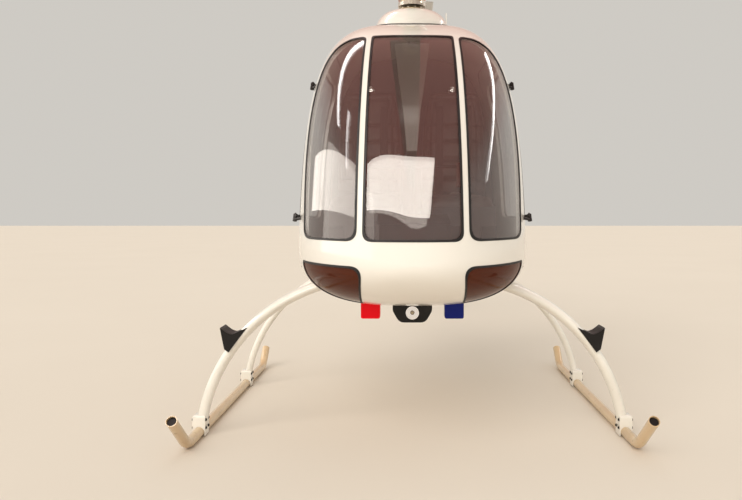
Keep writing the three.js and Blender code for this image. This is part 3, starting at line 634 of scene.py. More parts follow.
# Window and door outlines, in metres; grow widens an opening on all sides.
POST_LOW_X, POST_HIGH_X, POST_HALF = 0.215, 0.199, 0.013
PANE_LOW_Z, PANE_HIGH_Z = 0.941, 1.871
CHIN_TOP_Z, CHIN_INNER_X, CHIN_FOOT_X = 0.838, 0.207, 0.231
PANE_FOOT_X = 0.4975
FAR, AHEAD_Y, FIREWALL_Y = 0.9, -1.9, 0.02


def centre_pane(grow):
    """Cutter of the windshield's middle pane."""
    low, high = POST_LOW_X - POST_HALF + grow, POST_HIGH_X - POST_HALF + grow
    bottom, top = PANE_LOW_Z - grow, PANE_HIGH_Z + grow
    corners = [(-low, bottom, 0.04), (low, bottom, 0.04), (high, top, 0.017), (-high, top, 0.017)]
    return prism("front", corners, AHEAD_Y, -0.9)


def side_pane(grow):
    """Cutter of the windshield's left pane."""
    bottom, top = PANE_LOW_Z - grow, PANE_HIGH_Z + grow
    front = [
        (POST_LOW_X + POST_HALF - grow, bottom, 0.052),
        (PANE_FOOT_X + 0.3 * grow, bottom, 0.048),
        (PANE_FOOT_X + 0.003 + 0.3 * grow, PANE_LOW_Z + 0.2, 0),
        (FAR, PANE_LOW_Z + 0.26, 0),
        (FAR, top, 0),
        (POST_HIGH_X + POST_HALF - grow, top, 0.030),
    ]
    side = [
        (AHEAD_Y, bottom - 0.04, 0),
        (-1.205 + grow, bottom, 0.06),
        (-1.0 + grow, top, 0.11),
        (AHEAD_Y, top + 0.04, 0),
    ]
    seen_in_front = prism("front", front, AHEAD_Y, -0.7)
    return carve(seen_in_front, ("INTERSECT", [prism("side", side, 0.01, FAR)]))


def chin_pane(grow):
    """Cutter of the left chin window."""
    inner, top = CHIN_INNER_X - grow, CHIN_TOP_Z + grow
    front = [(CHIN_FOOT_X - grow, 0.56, 0), (FAR, 0.56, 0), (FAR, top, 0), (inner, top, 0.048)]
    side = [
        (AHEAD_Y, 0.56, 0),
        (-1.2 + grow, 0.56, 0),
        (-1.17 + grow, top, 0.05),
        (AHEAD_Y, top + 0.04, 0),
    ]
    seen_in_front = prism("front", front, AHEAD_Y, -1.0)
    return carve(seen_in_front, ("INTERSECT", [prism("side", side, 0.01, FAR)]))


def door_outline(grow):
    """Cutter of the left door's opening."""
    corners = [
        (-1.135 - grow, 0.795 - grow, 0.06),
        (-0.13 + grow, 0.795 - grow, 0.09),
        (-0.13 + grow, 1.88 + grow, 0.14),
        (-0.829 - grow, 1.88 + grow, 0.05),
    ]
    return prism("side", corners, 0.12, FAR)


def door_window(grow):
    """Cutter of the left door's window."""
    corners = [
        (-1.01 - grow, 1.03 - grow, 0.045),
        (-0.205 + grow, 1.03 - grow, 0.07),
        (-0.205 + grow, 1.795 + grow, 0.11),
        (-0.792 - grow, 1.795 + grow, 0.045),
    ]
    return prism("side", corners, 0.12, FAR)


def both(make, grow):
    """A left cutter and its mirror image."""
    left = make(grow)
    return [left, mirrored(left)]


def tube(points, radii, side=(1, 0, 0), columns=24):
    """Rings around a path: cosine across it and sine along side, by the half sizes in radii."""
    points, side = np.asarray(points, float), np.asarray(side, float)
    along = np.gradient(points, axis=0)
    along /= np.linalg.norm(along, axis=1, keepdims=True)
    across = np.cross(side, along)
    across /= np.linalg.norm(across, axis=1, keepdims=True)
    radii = np.broadcast_to(np.asarray(radii, float), (len(points), 2))
    turn = 2 * math.pi * np.arange(columns)[None, :, None] / columns
    offset = radii[:, :1, None] * np.cos(turn) * across[:, None]
    offset = offset + radii[:, 1:, None] * np.sin(turn) * side
    return points[:, None] + offset


def body_over(name, rings, row=0):
    """A closed body over rings of points; the faces beyond one row tell which way is out."""
    here, beyond = rings[row], rings[row + 1]
    facing = np.cross(here[1] - here[0], beyond[0] - here[0])
    return made(name, rings, lathe(rings, flip=facing @ (here[0] - here.mean(0)) < 0))


def bar(name, points, radii, side=(1, 0, 0), columns=24):
    """A round or oval bar along a path."""
    return body_over(name, tube(points, radii, side, columns))


GEAR_Y = -0.15
LEG_ARC_RADIUS, LEG_ARC_X, LEG_ARC_Z, FOOT_ANGLE = 0.817, 0.191, -0.066, 8
CROSS_TUBES = {
    # name: (place along Y, half thickness, half width at the foot, half width at the belly)
    "cross_tube_front": (GEAR_Y - 0.955, 0.025, 0.025, 0.056),
    "cross_tube_rear": (GEAR_Y + 0.026, 0.020, 0.020, 0.026),
}


def cross_tube(name, grow, steps=40):
    """Straight through the belly, then a circle's arc down to each skid.

    The half width eases from the foot's to the belly's along the arc, and grow adds to both
    half sizes.
    """
    y, thick, foot, root = CROSS_TUBES[name]
    turn = np.radians(np.linspace(FOOT_ANGLE, 90, steps))
    x, z = LEG_ARC_X + LEG_ARC_RADIUS * np.cos(turn), LEG_ARC_Z + LEG_ARC_RADIUS * np.sin(turn)
    half = np.stack([x, 0 * turn + y, z], -1)
    path = np.concatenate([half, half[::-1] * (-1, 1, 1)])
    towards_foot = np.abs(np.linspace(-1, 1, len(path)))
    taper = np.clip((towards_foot - 0.45) / 0.5, 0, 1)
    taper = taper**2 * (3 - 2 * taper)
    radii = np.stack([0 * taper + thick, mix(root, foot, taper)], -1) + grow
    return bar(name, path, radii, (0, 1, 0))


MAST_Y, DOME_Y = -0.4, -0.38


def upright(x, y, low, high, radius):
    """Round cutter that stands upright."""
    return bar("cutter", [(x, y, low), (x, y, high)], (radius, radius), (1, 0, 0), 40)


# Cabin shell: the moulded front half of the fuselage, painted gloss white. It is one wall,
# with the windows, the doorways, the holes of the legs and the mast's hole cut out of it.
cabin = carve(
    skin_band("cabin_shell_fine", 0, WALL),
    ("INTERSECT", [box((-FAR, AHEAD_Y, 0), (FAR, FIREWALL_Y - SEAT_GAP, 2.5))]),
    ("DIFFERENCE", [centre_pane(0), *both(side_pane, 0), *both(chin_pane, 0)]),
    ("DIFFERENCE", both(door_outline, 0)),
    ("DIFFERENCE", [cross_tube(name, SEAT_GAP) for name in CROSS_TUBES]),
    ("DIFFERENCE", [upright(0, MAST_Y, 1.9, 2.2, 0.034)]),
)
follow_skin(cabin)
finished(cabin, white)
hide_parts("cabin_shell")

# Engine cowl: the rear half of the skin, a white painted shell screwed to the cabin's rear
# edge. It is louvred on both sides, with a black sheet behind the slats that is painted shade
# of the cowl's inside, and the boom and the exhaust leave through their own holes.
LOUVRES = [
    # (front Y, lower front Z, length, height, slats)
    (0.130, 1.150, 0.300, 0.190, 4),
    (0.170, 0.905, 0.150, 0.070, 2),
]
LOUVRE_SLOPE, LOUVRE_CORNER, SLAT_LAP, SHADE_SHEET_LAP = 0.16, 0.004, 0.006, 0.008
EXHAUST_X, EXHAUST_Y, EXHAUST_RADIUS = -0.15, 0.33, 0.026
BOOM_HOLE_RADIUS = 0.0604


def louvre(y, z, length, height):
    """Cutter through both sides, slanted up to the rear, from its lower front corner."""
    rise = LOUVRE_SLOPE * length
    places = [(y, z), (y + length, z + rise), (y + length, z + rise + height), (y, z + height)]
    return prism("side", [(*place, LOUVRE_CORNER) for place in places], -FAR, FAR)


def slat_cutters():
    """Slats across each louvred opening, which lap under its ends."""
    cutters = []
    for y, z, length, height, slats in LOUVRES:
        spacing = height / (slats + 0.5)
        foot = z - SLAT_LAP * LOUVRE_SLOPE
        for i in range(slats):
            low = foot + spacing * (i + 0.5)
            cutters.append(louvre(y - SLAT_LAP, low, length + 2 * SLAT_LAP, spacing * 0.5))
    return cutters


boom_run = [(0, 0.6, BOOM_Z), (0, 1.2, BOOM_Z)]
boom_hole = bar("cutter", boom_run, (BOOM_HOLE_RADIUS, BOOM_HOLE_RADIUS), columns=64)
cowl = carve(
    skin_band("engine_cowl_fine", 0, WALL),
    ("INTERSECT", [box((-FAR, FIREWALL_Y + SEAT_GAP, 0), (FAR, COWL_END_Y + 0.05, 2.5))]),
    ("DIFFERENCE", [cross_tube("cross_tube_rear", SEAT_GAP), boom_hole]),
    ("DIFFERENCE", [louvre(*row[:4]) for row in LOUVRES]),
    ("DIFFERENCE", [upright(EXHAUST_X, EXHAUST_Y, 0.6, 0.92, EXHAUST_RADIUS + 0.008)]),
)
finished(follow_skin(cowl), white)
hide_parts("engine_cowl")

for number, cutter in enumerate(slat_cutters()):
    slat = carve(skin_band(f"cowl_slat_{number}", 0.005, 0.009, 40, 120), ("INTERSECT", [cutter]))
    finished(follow_skin(slat), white)
# Black sheets just inside the louvres: painted shade standing in for the dark inside of the cowl.
for number, (y, z, length, height, slats) in enumerate(LOUVRES):
    size = (length + 2 * SHADE_SHEET_LAP, height + 2 * SHADE_SHEET_LAP)
    cutter = louvre(y - SHADE_SHEET_LAP, z - SHADE_SHEET_LAP, *size)
    sheet = skin_band(f"cowl_shade_sheet_{number}", 0.0225, 0.0245, 30, 100)
    finished(follow_skin(carve(sheet, ("INTERSECT", [cutter]))), black)

# Panes: moulded acrylic sheet, smoked brown, that sits just below the paint in the shell's
# and the doors' openings. Strips of black rubber around the edges hold the panes.
PANES = [
    # (CAD node, body, opening, side, finish)
    ("windshield_centre", "airframe", centre_pane, 0, glass),
    ("windshield_left", "airframe", side_pane, 1, glass),
    ("windshield_right", "airframe", side_pane, -1, glass),
    ("chin_window_left", "airframe", chin_pane, 1, chin_glass_painted_reflection),
    ("chin_window_right", "airframe", chin_pane, -1, chin_glass_painted_reflection),
    ("door_glass_left", "door_left", door_window, 1, glass),
    ("door_glass_right", "door_right", door_window, -1, glass),
]
GASKET_WIDTH = 0.008


def sided(cutter, side):
    """The cutter itself, or on the right side its mirror image in its stead."""
    if side != -1:
        return cutter
    other = mirrored(cutter)
    discard(cutter)
    return other


for node, body, opening, side, tint in PANES:
    pane = skin_band(f"{node}_fine", GLASS_DEPTH, GLASS_DEPTH + GLASS)
    pane = carve(pane, ("INTERSECT", [sided(opening(-SEAT_GAP), side)]))
    finished(follow_skin(pane), tint, body)
    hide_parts(node)
    strip = carve(
        skin_band(f"{node}_gasket", -0.0014, 0.0035, 54, 140),
        ("INTERSECT", [sided(opening(0.0016), side)]),
        ("DIFFERENCE", [sided(opening(-GASKET_WIDTH), side)]),
    )
    finished(follow_skin(strip), gasket_rubber, body)

# Doors: a moulded white panel with the skin's own curve, one on each side. It shuts on a
# rubber seal that stays in the cabin's opening, and hangs on two black hinges whose knobs
# stand outside the skin, on a line that leans aft and inboard.
HINGES = {
    # height: place of the knuckle's origin on the left side
    "low": (0.559, -1.060, 1.033),
    "high": (0.498, -0.875, 1.688),
}
hinge_line = np.array(HINGES["high"]) - np.array(HINGES["low"])
hinge_line /= np.linalg.norm(hinge_line)


def on_hinge(height, distance, side=1):
    """A point on the hinge line, as far along it from the knuckle's origin as distance says."""
    return (np.array(HINGES[height]) + hinge_line * distance) * (side, 1, 1)


for side, hand in ((1, "left"), (-1, "right")):
    door = carve(
        skin_band(f"door_{hand}_fine", 0, WALL),
        ("INTERSECT", [sided(door_outline(-DOOR_GAP), side)]),
        ("DIFFERENCE", [sided(door_window(0), side)]),
    )
    finished(follow_skin(door), white, f"door_{hand}")
    seal = carve(
        skin_band(f"door_seal_{hand}", 0.009, 0.021, 54, 140),
        ("INTERSECT", [sided(door_outline(0.0005), side)]),
        ("DIFFERENCE", [sided(door_outline(-0.0038), side)]),
    )
    finished(follow_skin(seal), gasket_rubber)
    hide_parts(f"door_{hand}")


def joined(name, pieces):
    """One mesh from several."""
    points, faces = [], []
    for piece in pieces:
        start = len(points)
        points += [tuple(vertex.co) for vertex in piece.data.vertices]
        faces += [[index + start for index in face.vertices] for face in piece.data.polygons]
    discard(*pieces)
    return made(name, points, faces)


def turned(name, places, profile, columns=32):
    """A round body: profile rows are [distance along the axis through two places, radius]."""
    start, end = (np.array(place, float) for place in places)
    axis = (end - start) / np.linalg.norm(end - start)
    side = np.array((1, 0, 0) if abs(axis[0]) < 0.9 else (0, 1, 0), float)
    side -= axis * (side @ axis)
    side /= np.linalg.norm(side)
    other = np.cross(axis, side)
    turn = 2 * math.pi * np.arange(columns)[:, None] / columns
    along, radius = np.array(profile, float).T[:, :, None, None]
    rings = start + along * axis + radius * (np.cos(turn) * side + np.sin(turn) * other)
    return made(name, rings, lathe(rings))


def stud(name, place, outward, radius, height, columns=12):
    """A small domed fastener that stands on a surface."""
    start = np.array(place) - np.array(outward) * 0.0006
    flank = [(0, radius), (height * 0.55, radius)]
    profile = flank + [(height, radius * 0.62), (height * 1.08, radius * 0.1)]
    return turned(name, (start, start + np.array(outward)), profile, columns)


def hinge_arm(height, distance, bends, side):
    """A bent arm from the hinge line to the skin."""
    root = on_hinge(height, distance, side)
    points = [root] + [root + np.array(bend) * (side, 1, 1) for bend in bends]
    return bar("arm", points, (0.007, 0.009))


# Profiles along the hinge line: the knob and its pin on the cabin, and the knob on the door.
CABIN_KNOB = [(-0.019, 0.006), (-0.0175, 0.0105), (-0.002, 0.0105), (0, 0.009)]
CABIN_PIN = [(-0.003, 0.004), (0.022, 0.004), (0.024, 0.002)]
DOOR_KNOB = [(0.001, 0.009), (0.003, 0.0105), (0.0165, 0.0105), (0.0185, 0.008)]
CABIN_BENDS = [(-0.018, -0.020, 0.003), (-0.040, -0.036, 0.006)]
DOOR_BENDS = [(-0.010, 0.022, -0.002), (-0.026, 0.042, -0.004)]

for side, hand in ((1, "left"), (-1, "right")):
    knuckles, eyes = [], []
    for height in HINGES:
        line = (on_hinge(height, 0, side), on_hinge(height, 1, side))
        knuckles.append(turned("knob", line, CABIN_KNOB))
        knuckles.append(turned("pin", line, CABIN_PIN))
        knuckles.append(hinge_arm(height, -0.009, CABIN_BENDS, side))
        eyes.append(turned("knob", line, DOOR_KNOB))
        eyes.append(hinge_arm(height, 0.010, DOOR_BENDS, side))
    finished(joined(f"hinge_knuckles_{hand}", knuckles), black, "airframe", 35)
    finished(joined(f"hinge_eyes_{hand}", eyes), black, f"door_{hand}", 35)

    # Handle: a dished black cup with a lever across it, near the door's rear edge.
    place = skin_points(np.array([-0.24]), np.array([math.radians(2)]))[0]
    outward = skin_normals(place[None])[0]
    level = np.array((0, 0, 1.0))
    along = np.cross(outward, level) * (side, 1, 1)
    place, outward = place * (side, 1, 1), outward * (side, 1, 1)
    cup = [(-0.001, 0.036), (0.0018, 0.036), (0.0022, 0.033), (0.0008, 0.026), (-0.0006, 0.012)]
    dish = turned(f"handle_cup_{hand}", (place, place + outward), cup, 48)
    finished(dish, black, f"door_{hand}", 40)
    reach = np.linspace(-0.030, 0.030, 13)
    stand_off = 0.005 + 0.004 * np.cos(reach * 50)
    line = place + along * reach[:, None] + outward * stand_off[:, None]
    lever = bar(f"handle_lever_{hand}", line, (0.0035, 0.007), level)
    finished(lever, steel, f"door_{hand}", 40)

# Mast fairing: a low oval dome, moulded and painted white, that stands on the roof around the
# mast. A dark ring in rubber finish round its foot is painted shadow of the gap under its edge,
# and its top falls away to the front and the rear.
DOME_HALF_WIDTH, DOME_FRONT, DOME_REAR, DOME_SLOPE, DOME_COLUMNS = 0.204, 0.265, 0.36, 0.07, 96
DOME_LEVELS = [
    # (scale of the outline, height)
    (1, 1.99),
    (1, 2.06),
    (1, 2.098),
    (0.96, 2.122),
    (0.88, 2.148),
    (0.74, 2.172),
    (0.58, 2.1825),
    (0.44, 2.187),
    (0.38, 2.1885),
]


def between(rows, steps):
    """Points on a smooth curve through rows, steps to each span.

    Each span is the cubic whose slope at a row is half the step between that row's neighbours.
    """
    rows = np.array(rows, float)
    ends = np.concatenate([[2 * rows[0] - rows[1]], rows, [2 * rows[-1] - rows[-2]]])
    result = []
    for a, b, c, d in zip(ends, ends[1:], ends[2:], ends[3:]):
        for t in np.linspace(0, 1, steps, endpoint=False):
            curve = 2 * b + (c - a) * t + (2 * a - 5 * b + 4 * c - d) * t**2
            result.append(0.5 * (curve + (3 * b - a - 3 * c + d) * t**3))
    return np.array(result + [rows[-1]])


def roof_height(x, y):
    """Height of the skin's roof above (x, y), stepped towards as the section leans inwards."""
    top, bottom, middle, half, upper, lower, lean = section(y, 0)
    v = np.ones_like(x)
    for step in range(12):
        u = np.clip(np.abs(x) / (half * (1 - lean * v)), 0, 1)
        v = (1 - u**upper) ** (1 / upper)
    return middle + (top - middle) * v


def dome_ring(scale, z):
    """An oval, longer behind than ahead, whose height falls away to the front and the rear."""
    turn = 2 * math.pi * np.arange(DOME_COLUMNS) / DOME_COLUMNS
    ahead = np.minimum(np.sin(turn), 0) * DOME_FRONT * scale
    behind = np.maximum(np.sin(turn), 0) * DOME_REAR * scale
    x, y = DOME_HALF_WIDTH * scale * np.cos(turn), DOME_Y + ahead + behind
    return np.stack([x, y, z + DOME_SLOPE * (ahead - 0.5 * behind)], -1)


dome_rings = np.array([dome_ring(scale, z) for scale, z in between(DOME_LEVELS, 5)[5:]])
dome_rings[0, :, 2] = roof_height(dome_rings[0, :, 0], dome_rings[0, :, 1]) - 0.006
dome = made("mast_fairing_fine", dome_rings, lathe(dome_rings))
finished(dome, white, smooth=50)
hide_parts("mast_fairing")

foot = dome_ring(1, 0)
foot[:, 2] = roof_height(foot[:, 0], foot[:, 1])
outward = (foot - (0, DOME_Y, 0)) * (1, 1, 0)
outward /= np.linalg.norm(outward, axis=1, keepdims=True)
# A dark ring round the dome's foot: painted shadow of the gap under the dome's edge.
foot_shadow_profile = [(-0.003, -0.004), (0.006, -0.004), (0.007, 0.001), (0.004, 0.005), (-0.003, 0.006)]
foot_shadow = np.stack([foot + outward * a + (0, 0, b) for a, b in foot_shadow_profile], 1)


def wreath(name, rings):
    """A closed ring of closed sections."""
    rows, columns = rings.shape[:2]
    row, column = np.arange(rows)[:, None], np.arange(columns)[None, :]
    here, ahead = row * columns, (row + 1) % rows * columns
    beside = (column + 1) % columns
    quads = np.stack([here + column, ahead + column, ahead + beside, here + beside], -1)
    return made(name, rings, quads.reshape(-1, 4).tolist())


finished(wreath("dome_foot_shadow_ring", foot_shadow), gasket_rubber, smooth=60)

# Mast tower: the machined, brassy flange through the dome's top that the mast turns in. A ring
# of twelve steel bolts holds it.
TOWER_Z = 2.188
TOWER_PROFILE = [
    # (height over the flange's seat, radius)
    (-0.050, 0.084),
    (-0.004, 0.084),
    (-0.002, 0.0865),
    (0.002, 0.0865),
    (0.004, 0.083),
    (0.018, 0.0605),
    (0.0182, 0.034),
    (-0.050, 0.034),
]
rise, radius = np.array(TOWER_PROFILE).T[:, None]
turn = -2 * math.pi * np.arange(64)[:, None] / 64
x, y = radius * np.cos(turn), MAST_Y + radius * np.sin(turn)
tower = wreath("mast_tower_fine", np.stack([x, y, TOWER_Z + rise + 0 * turn], -1))
finished(tower, bronze, smooth=35)
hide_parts("mast_tower")
BOLT_CIRCLE, BOLT_Z, BOLT_TILT = 0.0725, 2.1985, 0.35
bolts = []
for number in range(12):
    turn = math.radians(30 * number + 15)
    across, ahead = math.cos(turn), math.sin(turn)
    place = np.array((BOLT_CIRCLE * across, MAST_Y + BOLT_CIRCLE * ahead, BOLT_Z))
    outward = (BOLT_TILT * across, BOLT_TILT * ahead, 0.94)
    bolts.append(stud("bolt", place, outward, 0.0045, 0.004))
finished(joined("mast_tower_bolts", bolts), steel, smooth=35)

# Roof shadow strip: a strip in the black rubber finish fixed across the roof ahead of the dome,
# painted shadow of the gap at the dome's front foot. It sweeps back and gets lower at its ends.
SHADOW_STRIP_HALF_WIDTH, SHADOW_STRIP_Y = 0.205, -0.76
shadow_strip_profile = [(-0.004, -0.004), (-0.004, 0.007), (-0.001, 0.010), (0.004, 0.009), (0.006, -0.004)]
shadow_strip_x = np.linspace(-SHADOW_STRIP_HALF_WIDTH, SHADOW_STRIP_HALF_WIDTH, 60)
shadow_strip_y = SHADOW_STRIP_Y + 0.04 * (shadow_strip_x / SHADOW_STRIP_HALF_WIDTH) ** 4
shadow_strip_z = roof_height(shadow_strip_x, shadow_strip_y)
fade = 1 - 0.5 * (shadow_strip_x / SHADOW_STRIP_HALF_WIDTH) ** 6
shadow_strip = np.stack([np.stack([shadow_strip_x, shadow_strip_y + a, shadow_strip_z + b * fade], -1) for a, b in shadow_strip_profile], 1)
# The strip's black is painted shadow of the gap at the dome's front foot.
finished(made("roof_shadow_strip", shadow_strip, lathe(shadow_strip)), gasket_rubber, smooth=60)

# Cowl fasteners: domed steel heads that hold the cowl's front edge to the cabin. The row gives
# their angles in degrees around the left half of the section.
HEAD_ANGLES = (-66, -48, -30, -14, 2, 18, 34, 52, 74)
angles = np.radians(np.array(HEAD_ANGLES + tuple(180 - angle for angle in HEAD_ANGLES), float))
places = skin_points(np.full(len(angles), FIREWALL_Y + 0.024), angles)
ways = skin_normals(places)
heads = [stud("head", place, way, 0.0072, 0.0016, 16) for place, way in zip(places, ways)]
finished(joined("cowl_fasteners", heads), steel, smooth=35)

# Landing gear legs: two oval metal tubes, painted white, that pass through the belly and arch
# down to the skids on both sides. They end inside the clamps.
for name in CROSS_TUBES:
    leg = carve(cross_tube(name, 0, 72), ("INTERSECT", [box((-1.2, -1.4, 0.052), (1.2, 0.4, 0.9))]))
    finished(leg, white_gear, smooth=40)
    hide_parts(name)

# Skids: round metal tubes with bent-up open ends, in cream paint that is scuffed by the
# ground. Each end is bored, with a dark plug in its bore, by distances from the tip.
SKID_X, SKID_RADIUS, SKID_BORE = 1.005, 0.024, 0.021
BORE_DEPTH, PLUG_FOOT, PLUG_FACE, PLUG_GAP = 0.07, 0.069, 0.012, 1e-4
SKID_BENDS = [
    # (Y where the bend's tangents meet, length and height of the rise, direction)
    (GEAR_Y - 1.173, 0.203, 0.164, -1),
    (GEAR_Y + 0.503, 0.108, 0.101, 1),
]
BEND_RADIUS = 0.15


def skid_rise(bend_y, length, height, direction, steps=14):
    """From the straight run around the bend and up to the open tip."""
    angle = math.atan2(height, length)
    tangent = BEND_RADIUS * math.tan(angle / 2)
    turn = np.linspace(0, angle, steps)
    y = bend_y - direction * (tangent - BEND_RADIUS * np.sin(turn))
    arc = np.stack([y, SKID_RADIUS + BEND_RADIUS * (1 - np.cos(turn))], -1)
    tip = np.array((bend_y + direction * length, SKID_RADIUS + height))
    return np.concatenate([arc, [arc[-1] + (tip - arc[-1]) * t for t in (0.35, 0.7, 1)]])


front, rear = skid_rise(*SKID_BENDS[0]), skid_rise(*SKID_BENDS[1])
skid_line = np.concatenate([front[::-1], rear])
straight = np.insert(skid_line, 0, SKID_X, axis=1)

for side, hand in ((1, "left"), (-1, "right")):
    path = straight * (side, 1, 1)
    skid = bar(f"skid_{hand}_fine", path, (SKID_RADIUS, SKID_RADIUS), (1, 0, 0), 40)
    bores, plugs = [], []
    for tip, inner in ((path[0], path[1]), (path[-1], path[-2])):
        along = (tip - inner) / np.linalg.norm(tip - inner)
        run = [tip - along * BORE_DEPTH, tip + along * 0.01]
        bores.append(bar("cutter", run, (SKID_BORE, SKID_BORE), (1, 0, 0), 40))
        run = [tip - along * PLUG_FOOT, tip - along * PLUG_FACE]
        size = (SKID_BORE - PLUG_GAP, SKID_BORE - PLUG_GAP)
        plugs.append(bar("plug", run, size, (1, 0, 0), 40))
    carve(skid, ("DIFFERENCE", bores))
    finished(joined(f"skid_plugs_{hand}", plugs), gasket_rubber)
    finished(skid, cream, smooth=40)
    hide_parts(f"skid_{hand}")

# Clamps: a white painted metal block under each foot, saddled over the skid and bored for the
# leg, with rounded shoulders. Four dark bolts on its inner and four on its outer face tie it.
CLAMP_LOW_Z, CLAMP_HIGH_Z = 0.006, 0.102
CLAMP_BOLT = [
    (-0.001, 0.0080),
    (0.0012, 0.0080),
    (0.0013, 0.0058),
    (0.0050, 0.0058),
    (0.0058, 0.0045),
]


def clamp_outline(view, middle, half, corner, low, high):
    """Block seen in one view: square feet, and shoulders rounded by corner."""
    feet = [(middle - half, CLAMP_LOW_Z, 0), (middle + half, CLAMP_LOW_Z, 0)]
    shoulders = [(middle + way * half, CLAMP_HIGH_Z, corner) for way in (1, -1)]
    return prism(view, feet + shoulders, low, high)


for name, (y, thick, foot, root) in CROSS_TUBES.items():
    end = name.split("_")[-1]
    reach = SKID_RADIUS + SEAT_GAP
    front, rear = y - 0.08, y + 0.08
    run = [(SKID_X, front, SKID_RADIUS), (SKID_X, rear, SKID_RADIUS)]
    block = carve(
        clamp_outline("side", y, 0.033, 0.016, SKID_X - 0.04, SKID_X + 0.04),
        ("INTERSECT", [clamp_outline("front", SKID_X, 0.0295, 0.009, y - 0.1, y + 0.1)]),
        ("DIFFERENCE", [bar("cutter", run, (reach, reach), (1, 0, 0), 40)]),
        ("DIFFERENCE", [box((SKID_X - reach, front, -0.01), (SKID_X + reach, rear, SKID_RADIUS))]),
        ("DIFFERENCE", [cross_tube(name, SEAT_GAP)]),
    )
    bolts = []
    for way in (-1, 1):
        for step in (-0.021, 0.021):
            for height in (0.042, 0.080):
                place = np.array((SKID_X + way * 0.0293, y + step, height))
                bolts.append(turned("bolt", (place, place + (way, 0, 0)), CLAMP_BOLT, 18))
    bolts = joined("bolts", bolts)
    block.name = f"clamp_{end}_left"
    bolts.name = f"clamp_bolts_{end}_left"
    other_block = mirrored(block, f"clamp_{end}_right")
    other_bolts = mirrored(bolts, f"clamp_bolts_{end}_right")
    for hand, clamp, fasteners in (("left", block, bolts), ("right", other_block, other_bolts)):
        finished(clamp, white_gear, smooth=30)
        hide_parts(f"saddle_{end}_{hand}")
        finished(fasteners, black, smooth=35)

# Boarding steps: a swallow-tailed bracket of black painted metal outside each front leg, bored
# for the leg and hollow on its upper edge, with a gritty rubber tread in the hollow.
STEP_Y, STEP_HALF, TREAD_HALF = CROSS_TUBES["cross_tube_front"][0], 0.054, 0.048
STEP_HOLLOW = [
    # (x, z) of the upper edge, from the leg outwards
    (0.770, 0.5215),
    (0.800, 0.507),
    (0.826, 0.4945),
    (0.842, 0.4895),
    (0.862, 0.4955),
    (0.880, 0.5075),
    (0.896, 0.5205),
]
STEP_TAIL = [(0.8965, 0.516, 0), (0.878, 0.420, 0.005), (0.858, 0.405, 0)]
hollow = between(STEP_HOLLOW, 6)
step_edge = [(x, z, 0) for x, z in hollow] + STEP_TAIL
bracket = prism("front", step_edge[::-1], STEP_Y - STEP_HALF, STEP_Y + STEP_HALF)
carve(bracket, ("DIFFERENCE", [cross_tube("cross_tube_front", 3 * SEAT_GAP)]))
bracket.name = "step_bracket_left"
tread_ends = (STEP_Y - TREAD_HALF, STEP_Y + TREAD_HALF)
top = np.array([[(x, y, z + 0.001) for x, z in hollow[6:-4]] for y in tread_ends])
under = top[:, ::-1] - (0, 0, 0.002)
rings = np.concatenate([top, under], 1)
tread = made("step_tread_left", rings, lathe(rings))
other_bracket = mirrored(bracket, "step_bracket_right")
other_tread = mirrored(tread, "step_tread_right")
for hand, step, grit in (("left", bracket, tread), ("right", other_bracket, other_tread)):
    finished(step, black, smooth=35)
    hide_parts(f"boarding_step_{hand}")
    finished(grit, gasket_rubber)

# Landing light: a metal dish that glows with painted light to look bright, with a shaded bulb,
# held by a rubber rim in the dark bowl under the nose. The tables give distances ahead of the
# lamp's face, and radii.
LIGHT_FACE_Y, LIGHT_Z = -1.078, 0.579
light_line = ((0, LIGHT_FACE_Y, LIGHT_Z), (0, LIGHT_FACE_Y - 1, LIGHT_Z))
dish = [
    # the can, the rim, then down into the dish
    (-0.0370, 0.0300),
    (-0.0370, 0.0332),
    (-0.0010, 0.0334),
    (0.0010, 0.0332),
    (0.0014, 0.0322),
    (0.0004, 0.0314),
    (-0.0040, 0.0290),
    (-0.0105, 0.0235),
    (-0.0160, 0.0160),
    (-0.0190, 0.0085),
    (-0.0196, 0.0010),
]
reflector_painted_glow = Finish("landing_light_dish_painted_glow", Base_Color=(0.86, 0.82, 0.76))
reflector_painted_glow.set("Metallic", 0.8).set("Roughness", 0.3)
# The dish's glow is painted light, standing in for its bright reflection.
reflector_painted_glow.set("Emission Color", (1.0, 0.93, 0.85)).set("Emission Strength", 0.45)
reflector_painted_glow.bump(reflector_painted_glow.noise(90, 2), 0.10, 0.001)
lamp_can = turned("landing_light_fine", light_line, dish, 56)
finished(lamp_can, reflector_painted_glow, smooth=50)
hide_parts("landing_light")
bulb_glass = Finish("bulb_glass", Base_Color=(0.20, 0.18, 0.17), Roughness=0.3, Coat_Weight=1.0)
bulb_glass.set("Emission Color", (1.0, 0.9, 0.8)).set("Emission Strength", 0.02)
bulb = [(-0.0190, 0.0070), (-0.0120, 0.0110), (-0.0060, 0.0105), (-0.0040, 0.0080)]
finished(turned("landing_light_bulb", light_line, bulb, 32), bulb_glass, smooth=60)
shade = [(-0.0045, 0.0062), (-0.0025, 0.0062), (-0.0010, 0.0045), (-0.0006, 0.0010)]
finished(turned("landing_light_shade", light_line, shade, 32), bronze, smooth=40)
rim = [(0.0016, 0.0344), (0.0034, 0.0350), (0.0046, 0.0338), (0.0036, 0.0318), (0.0014, 0.0314)]
turn = 2 * math.pi * np.arange(56)[:, None] / 56
ahead, reach = np.array(rim).T
x, z = reach * np.cos(turn), LIGHT_Z + reach * np.sin(turn)
rings = np.stack([x, LIGHT_FACE_Y - ahead + 0 * turn, z], -1)
finished(wreath("landing_light_bezel", rings), gasket_rubber, smooth=50)

